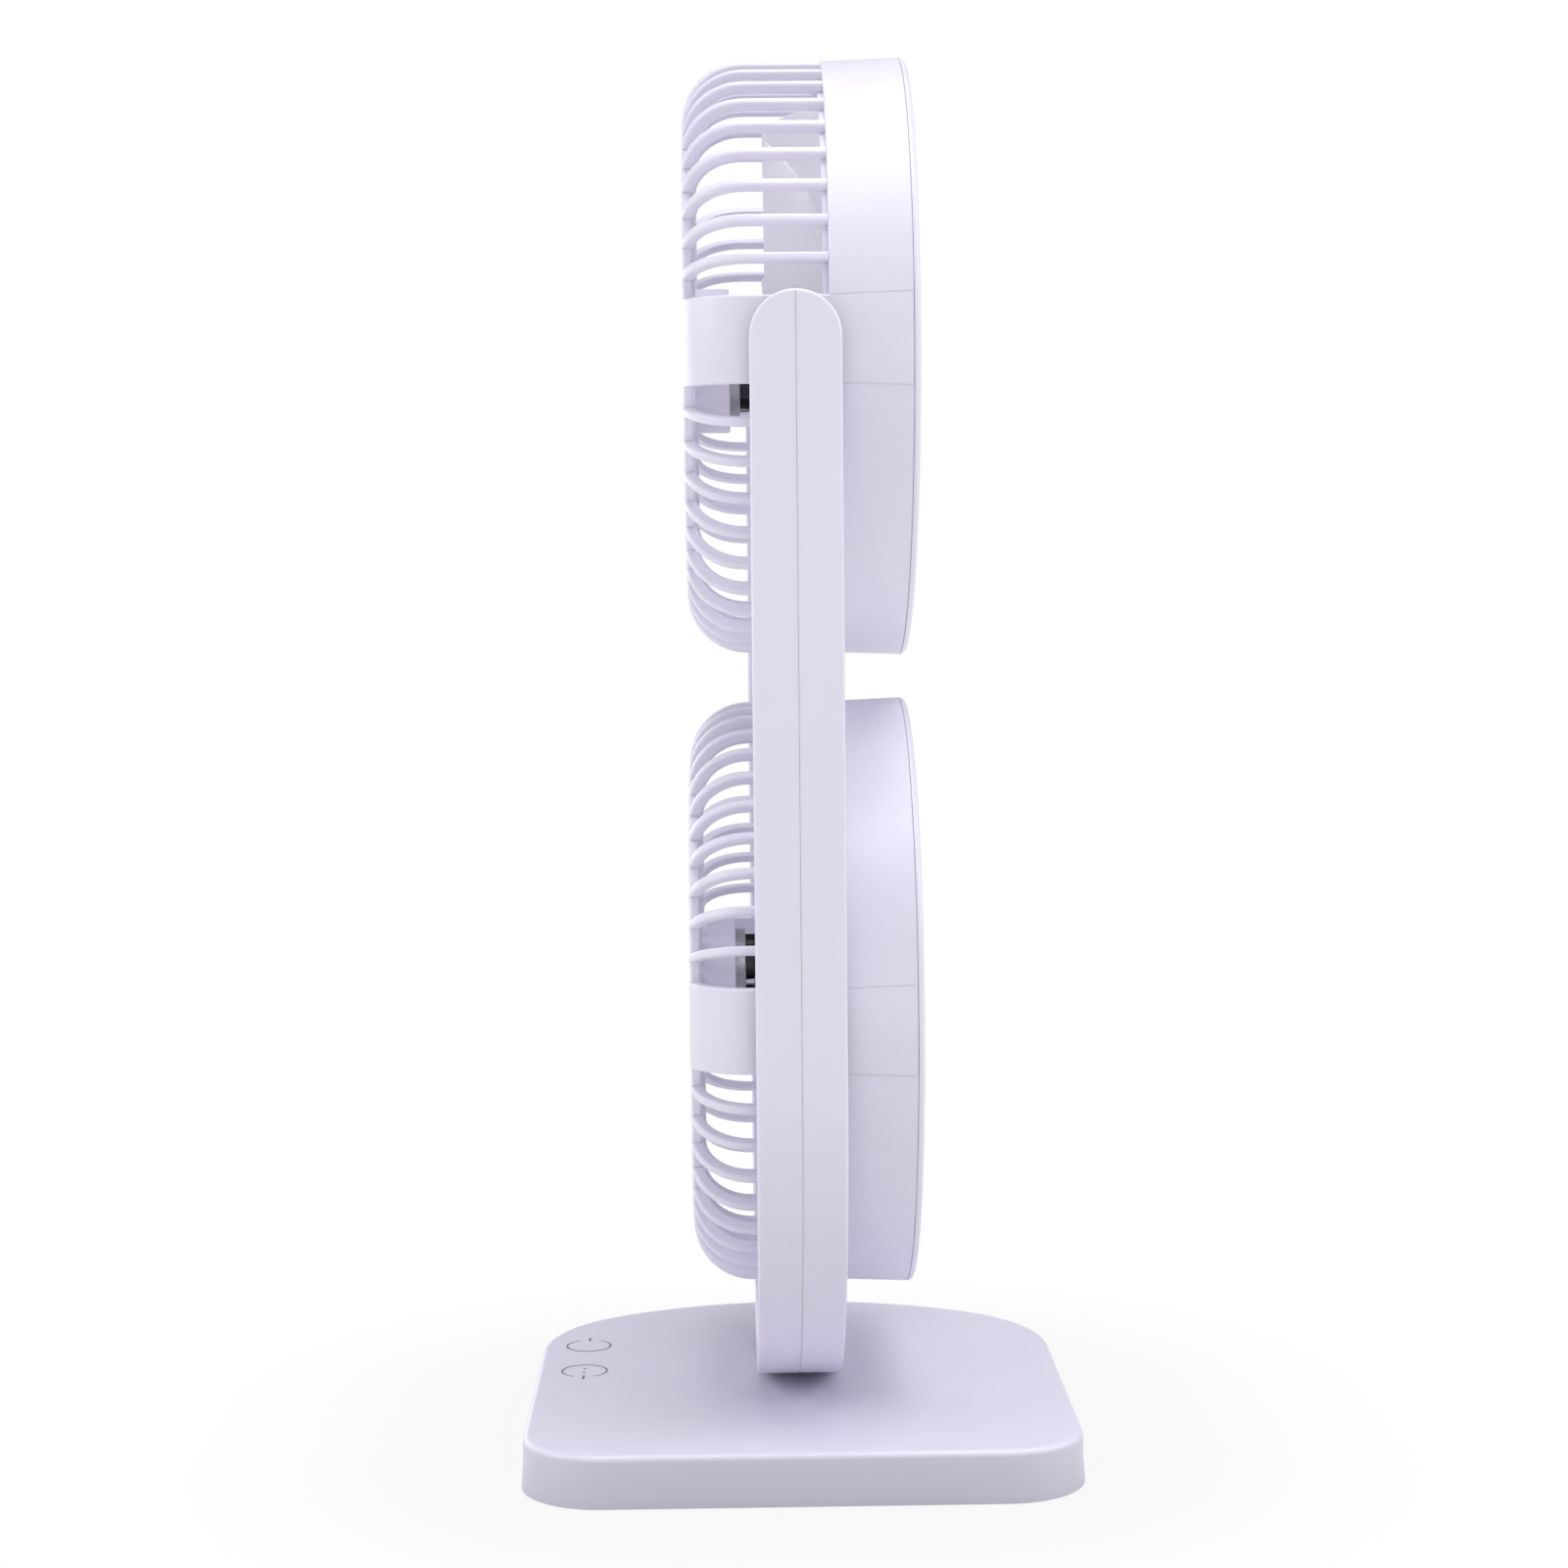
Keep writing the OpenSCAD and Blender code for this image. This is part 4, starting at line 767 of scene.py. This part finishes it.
def recess_tool(side):
    """The room that the grille's tail takes in the casing, with a thin gap round it."""
    rings = []
    for y, flare in ((casing_front - MM, 0), (casing_front, 0), (casing_rear, panel_flare),
                     (casing_rear + MM, panel_flare)):
        half = panel_half_h + flare + tail_gap
        floor_r = cage_r + (head_r - cage_r) * back_share(y) - tail_t - tail_floor_gap
        ring = [Vector((side * math.sqrt(floor_r ** 2 - z ** 2), y, z))
                for z in (half * share / 6 for share in range(-6, 7))]
        rings.append(ring + [Vector((side * recess_out, y, half)), Vector((side * recess_out, y, -half))])
    return lofted(rings)


screw_turns = [math.radians(a) for a in (45, 135, 225, 315)]
bolt_circle_r, screw_boss_r, screw_bore_r, boss_start = 72.6 * MM, 3.2 * MM, 1.1 * MM, casing_front + 6 * MM


def bolt_places(pivot_z):
    """Where the rear cover's screws stand on their circle, as (x, z)."""
    return [(bolt_circle_r * math.cos(a), pivot_z + bolt_circle_r * math.sin(a)) for a in screw_turns]


for head, pivot_z in head_heights.items():
    casing = turned(f"{head}_casing", casing_profile, pivot_z, shell_plastic, 240, 28)
    cut(casing, [as_object("tail_room", outward(raised(recess_tool(side), pivot_z)), shell_plastic)
                 for side in (-1, 1)])
    bosses = []
    for x, z in bolt_places(pivot_z):
        boss = rod("screw_boss", (x, boss_start, z), (x, casing_rear - 0.05 * MM, z), screw_boss_r,
                   shell_plastic, 32)
        cut(boss, [rod("screw_bore", (x, boss_start + 2 * MM, z), (x, casing_rear + MM, z), screw_bore_r,
                       shell_plastic, 24)])
        bosses.append(boss)
    casing = merged_into(casing, bosses)
    dress(casing, f"{head}_head", "shell", f"{head}_rear_casing")


# Rear cover
# The air inlet, moulded in the shells' white plastic: a rounded rim, 36 thin spokes, two rings
# and a middle disc. Four screws in sunk holes hold it.
cover_front, cover_rear, rim_round = casing_rear + 0.1 * MM, casing_rear + 1.7 * MM, 1.45 * MM
cover_t = cover_rear - cover_front
inlet_r, inlet_hub_r, inlet_rings_r = 67 * MM, 16 * MM, (33 * MM, 50 * MM)
cover_spokes, cover_spoke_w = 36, 2 * MM
screw_seat, head_way_r, shank_way_r = cover_front + 0.5 * MM, 2.7 * MM, 1.35 * MM
rim_profile = ([(inlet_r + 0.2 * MM, cover_front), (head_r - 0.05 * MM, cover_front)]
               + arc((head_r - rim_round, cover_rear - rim_round), rim_round, 0, 90, 6)
               + [(inlet_r + 0.6 * MM, cover_rear), (inlet_r + 0.2 * MM, cover_rear - 0.1 * MM),
                  (inlet_r, cover_rear - 0.4 * MM), (inlet_r, cover_front + 0.2 * MM)])


def flat_ring_profile(r_out, r_in, inset, edge):
    low, high = cover_front + inset, cover_rear - inset
    return [(r_in + edge, low), (r_out - edge, low), (r_out, low + edge), (r_out, high - edge),
            (r_out - edge, high), (r_in + edge, high), (r_in, high - edge), (r_in, low + edge)]


for head, pivot_z in head_heights.items():
    rim = turned(f"{head}_rim", rim_profile, pivot_z, shell_plastic, 240, 28)
    tools = []
    for x, z in bolt_places(pivot_z):
        tools.append(rod("head_way", (x, screw_seat, z), (x, cover_rear + MM, z), head_way_r,
                         shell_plastic, 32))
        tools.append(rod("shank_way", (x, cover_front - MM, z), (x, screw_seat + 0.2 * MM, z), shank_way_r,
                         shell_plastic, 24))
    cut(rim, tools)
    spoke_section = rounded_box(cover_spoke_w, cover_t - 0.3 * MM, 0.5 * MM, 0.3 * MM)
    spoke = lofted([[Vector((r, cover_rear - 0.15 * MM - d, across)) for across, d in spoke_section]
                    for r in (inlet_hub_r - MM, inlet_r + 0.5 * MM)])
    parts = [copied(f"{head}_inlet_spokes", spoke, cover_spokes, shell_plastic, pivot_z)]
    disc_profile = flat_ring_profile(inlet_hub_r, 0.1 * MM, 0.1 * MM, 0.05 * MM)
    parts.append(turned(f"{head}_inlet_disc", disc_profile, pivot_z, shell_plastic))
    for r in inlet_rings_r:
        profile = flat_ring_profile(r + ring_w, r, 0.12 * MM, 0.4 * MM)
        parts.append(turned(f"{head}_inlet_ring", profile, pivot_z, shell_plastic))
    cover = merged_into(rim, parts)
    cover.name = f"{head}_inlet_cover"
    dress(cover, f"{head}_head", "shell", f"{head}_rear_cover")


# Hub cap
# A thin disc of the shells' white plastic with a rounded edge, which lies flat on the front of
# the motor cup and covers it.
cap_r, cap_edge_w, cap_edge_r, cap_t = cup_r - 1.15 * MM, 0.9 * MM, 0.7 * MM, MM
cap_profile = ([(0.1 * MM, head_front), (cap_r - cap_edge_w, head_front)]
               + arc((cap_r - cap_edge_w, head_front + cap_edge_r), cap_edge_r, -72, 0, 4)
               + [(cap_r, head_front + cap_t), (0.1 * MM, head_front + cap_t)])
for head, pivot_z in head_heights.items():
    cap = turned(f"{head}_cap", cap_profile, pivot_z, shell_plastic, 96)
    dress(cap, f"{head}_head", "shell", f"{head}_hub_cap")


# Motor
# A drawn steel can sits in the cup. Nine black coils stand out of its open rear end, each wound
# in rows round a tooth of the stator, under a black end cap.
motor_steel = surface("drawn steel", (0.42, 0.425, 0.45), (0.36, 0.365, 0.39), (0.25, 0.4),
                      metallic=1, cloud=60)
enamel = surface("black enamelled wire", (0.012, 0.012, 0.014), (0.02, 0.02, 0.024), (0.25, 0.4), cloud=200)
can_front, can_rear, can_wall = head_front + 3.1 * MM, head_front + 14.7 * MM, 0.9 * MM
motor_r, core_r, can_round = 16.6 * MM, 15.8 * MM, MM
coil_count, coil_front, coil_rear = 9, can_front + 2.4 * MM, can_rear + 3.4 * MM
wire_r, coil_half_w, coil_bend_r = 0.42 * MM, 2.4 * MM, 1.3 * MM
coil_rows, first_row_r, row_pitch = 5, 10.25 * MM, 0.74 * MM
tooth_r, tooth_half = (9.9 * MM, 13.5 * MM), 1.7 * MM
tooth_spans = ((coil_front + 1.2 * MM, can_front + 3.9 * MM), (can_front + 10.5 * MM, coil_rear - 1.3 * MM))
can_profile = ([(2 * MM, can_front)]
               + arc((motor_r - can_round, can_front + can_round), can_round, -90, 0, 6)
               + [(motor_r, can_rear - 0.2 * MM), (motor_r - 0.2 * MM, can_rear),
                  (core_r + 0.1 * MM, can_rear), (core_r, can_rear - 0.1 * MM),
                  (core_r, can_front + can_wall), (2 * MM, can_front + can_wall)])


def wound_coil():
    """Two layers of single turns round a tooth, and the tooth's two ends."""
    parts = []
    from_axis = Vector((1, 0, 0))
    for layer in range(2):
        shrink = layer * 1.7 * wire_r
        side = coil_half_w - wire_r - shrink * 0.2 - coil_bend_r
        front = coil_front + wire_r + shrink + coil_bend_r
        rear = coil_rear - wire_r - shrink - coil_bend_r
        path = (arc((side, front), coil_bend_r, -90, 0, 4) + arc((side, rear), coil_bend_r, 0, 90, 4)
                + arc((-side, rear), coil_bend_r, 90, 180, 4) + arc((-side, front), coil_bend_r, 180, 270, 4))
        for row in range(coil_rows):
            r = first_row_r + row * row_pitch
            rings = []
            for k, (z, y) in enumerate(path):
                before, after = path[k - 1], path[(k + 1) % len(path)]
                along = Vector((0, after[1] - before[1], after[0] - before[0])).normalized()
                out_way = Vector((0, along.z, -along.y))
                centre = Vector((r, y, z))
                rings.append([centre + wire_r * (math.cos(t) * out_way + math.sin(t) * from_axis)
                              for t in (math.pi * i / 4 for i in range(8))])
            parts.append(lofted(rings + [rings[0]], cap=False))
    tooth = [(r, half) for half, ends in ((-tooth_half, tooth_r), (tooth_half, tooth_r[::-1])) for r in ends]
    parts += [lofted([[(x, y, z) for x, z in tooth] for y in span]) for span in tooth_spans]
    return joined(parts)


for head, pivot_z in head_heights.items():
    can = turned(f"{head}_can", can_profile, pivot_z, motor_steel, 96)
    dress(can, f"{head}_head", "motor_steel", f"{head}_motor_can")
    coils = copied(f"{head}_coils", wound_coil(), coil_count, enamel, pivot_z, sharp=60)
    dress(coils, f"{head}_head", "coil", f"{head}_stator_coils")


# Screws
# Zinc-plated steel screws with pan heads and a cross recess, driven into bosses of the plastic
# mouldings: four behind each head, four under the base and three in the yoke.
plain_steel = surface("zinc-plated steel", (0.5, 0.51, 0.54), (0.42, 0.43, 0.46), (0.28, 0.42),
                      metallic=1, cloud=120)


def screw(cap_r, cap_t, shank_r, shank_len):
    """A screw that stands on its head's seat at 0 and points down -Z, as a temporary object."""
    tip_r = 0.02 * MM
    profile = [(tip_r, cap_t)]
    profile += [(cap_r * math.sin(a), cap_t * (0.45 + 0.55 * math.cos(a)))
                for a in (math.radians(15 * i) for i in range(1, 7))]
    profile += [(cap_r, 0.15 * cap_t), (cap_r - 0.1 * MM, 0), (shank_r, 0), (shank_r, 0.6 * MM - shank_len),
                (shank_r * 0.5, -shank_len), (tip_r, -shank_len)]
    turns = [2 * math.pi * i / 32 for i in range(32)]
    rings = [[Vector((r * math.cos(a), r * math.sin(a), z)) for r, z in profile] for a in turns]
    body = as_object("screw", outward(lofted(rings + [rings[0]], cap=False)), plain_steel, 40)
    reach, half, floor = 0.56 * cap_r, 0.11 * cap_r, 0.4 * cap_t
    for x, y in ((reach, half), (half, reach)):
        cut(body, [block("slot", (-x, -y, floor), (x, y, cap_t + MM), plain_steel)])
    return body


def screws_at(name, places, turn, sizes):
    """One object of a screw set at several places, each turned by the same rotation."""
    pattern = screw(*sizes)
    mesh = bmesh.new()
    for place in places:
        one = pattern.data.copy()
        one.transform(Matrix.Translation(place) @ turn.to_4x4())
        mesh.from_mesh(one)
        bpy.data.meshes.remove(one)
    bpy.data.objects.remove(pattern)
    return as_object(name, mesh, plain_steel, 40)


to_rear = Matrix.Rotation(math.radians(-90), 3, "X")
downward = Matrix.Rotation(math.radians(180), 3, "X")
cover_screw = (2.6 * MM, 0.9 * MM, 1.1 * MM, 9.6 * MM)
arm_screw = (1.6 * MM, MM, 0.8 * MM, 15.5 * MM)
for head, pivot_z in head_heights.items():
    places = [Vector((x, screw_seat + 0.02 * MM, z)) for x, z in bolt_places(pivot_z)]
    dress(screws_at(f"{head}_cover_screws", places, to_rear, cover_screw), f"{head}_head", "steel",
          f"{head}_casing_screws")
places = [Vector((x, screw_seat_y + 0.06 * MM, z)) for x, z in yoke_screw_at]
dress(screws_at("arm_screws", places, to_rear, arm_screw), "yoke", "steel", "yoke_screws")


def both_sides(x, y):
    """One place under the base, and its mirror image across the base's middle line."""
    return [(x, y), (x, -y)]


plate_screw_at = (both_sides(base_straight_x - 16 * MM, base_half_depth - 20 * MM)
                  + both_sides(base_bow_x + 22 * MM, base_half_depth - 26 * MM))
screws_lo, screws_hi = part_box("base_screws")
plate_screw_cap = 0.9 * MM
seat_z = screws_lo.z + plate_screw_cap
places = [Vector((x, y, seat_z)) for x, y in plate_screw_at]
plate_screw = (2.6 * MM, plate_screw_cap, 1.25 * MM, screws_hi.z - seat_z)
dress(screws_at("plate_screws", places, downward, plate_screw), "base", "steel", "base_screws")


# Feet
# Four soft round pads of black rubber with a rounded edge. They sit in shallow holes of the
# base plate and hold its edge just off the table.
rubber = surface("soft rubber", (0.03, 0.03, 0.032), (0.045, 0.045, 0.047), (0.75, 0.9), grain=900,
                 grain_depth=0.04 * MM)
foot_r, foot_h, foot_round = 6 * MM, 1.4 * MM, 0.6 * MM
foot_profile = ([(0.05 * MM, foot_h), (0.05 * MM, 0)]
                + arc((foot_r - foot_round, foot_round), foot_round, -90, 0, 6) + [(foot_r, foot_h)])
foot_at = (both_sides(base_straight_x - 28 * MM, base_half_depth - 16 * MM)
           + both_sides(base_bow_x + 38 * MM, base_half_depth - 18 * MM))
foot_parts = []
for x, y in foot_at:
    points, faces = revolved(foot_profile, 48)
    foot_parts.append(([Vector((p.x + x, p.z + y, p.y)) for p in points], faces))
dress(as_object("feet", outward(joined(foot_parts)), rubber), "base", "rubber", "rubber_feet")


# Finishes of the pieces that keep their CAD meshes
# Pins, bearings, washers and bushes, and what the base and the motors hold inside. Each takes
# the finish that the record's slot for it names.
wave_length = 0.314159  # of one band of the wave texture, at a scale of 1


def striped(name, colour, between, rough, across, pitch, metallic=0.0):
    """A finish with even bands across one axis, as laminations, a sleeve's braid or board tracks."""
    material = surface(name, colour, colour, rough, metallic=metallic)
    tree = material.node_tree
    bands = add_node(tree, "ShaderNodeTexWave", {
        "Vector": node_of(material, "TEX_COORD").outputs["Object"], "Scale": wave_length / pitch,
        "Distortion": 0.4}, bands_direction=across)
    tone = add_node(tree, "ShaderNodeMix", {
        "A": (*between, 1), "B": (*colour, 1),
        "Factor": ranged(tree, bands.outputs["Fac"], 0, 1)}, data_type="RGBA")
    tree.links.new(tone.outputs["Result"], node_of(material, "BSDF_PRINCIPLED").inputs["Base Color"])
    return material


dark_plastic = surface("matte black plastic", (0.022, 0.022, 0.025), (0.03, 0.03, 0.034), (0.5, 0.65))
iron = striped("laminated iron", (0.16, 0.16, 0.175), (0.07, 0.07, 0.08), (0.4, 0.55), "Y", 0.5 * MM,
               metallic=0.8)
foil = surface("foil pouch", (0.56, 0.57, 0.6), (0.48, 0.49, 0.52), (0.2, 0.45), grain=260,
               grain_depth=0.25 * MM, metallic=0.9, cloud=90)
board = striped("green circuit board", (0.02, 0.11, 0.045), (0.035, 0.19, 0.08), (0.3, 0.42), "DIAGONAL",
                1.2 * MM)
copper = surface("bare copper", (0.6, 0.28, 0.15), (0.45, 0.2, 0.11), (0.25, 0.45), metallic=1, cloud=220)
acetal = surface("natural acetal", (0.72, 0.71, 0.67), (0.68, 0.67, 0.63), (0.35, 0.45))
sleeve = striped("braided black sleeve", (0.02, 0.02, 0.022), (0.06, 0.06, 0.065), (0.55, 0.7), "Z", 0.9 * MM)
finish_of = {"shell": shell_plastic, "blade": blade_plastic, "dark_plastic": dark_plastic,
             "steel": plain_steel, "motor_steel": motor_steel, "mark": ink, "iron": iron, "coil": enamel,
             "rubber": rubber, "battery": foil, "board": board, "copper": copper, "bush": acetal,
             "wire": sleeve}
for part in frame["record"]["subparts"]:
    node = frame["nodes"][part["node"]]
    node.data.materials.clear()
    node.data.materials.append(finish_of[part["material_slot"]])
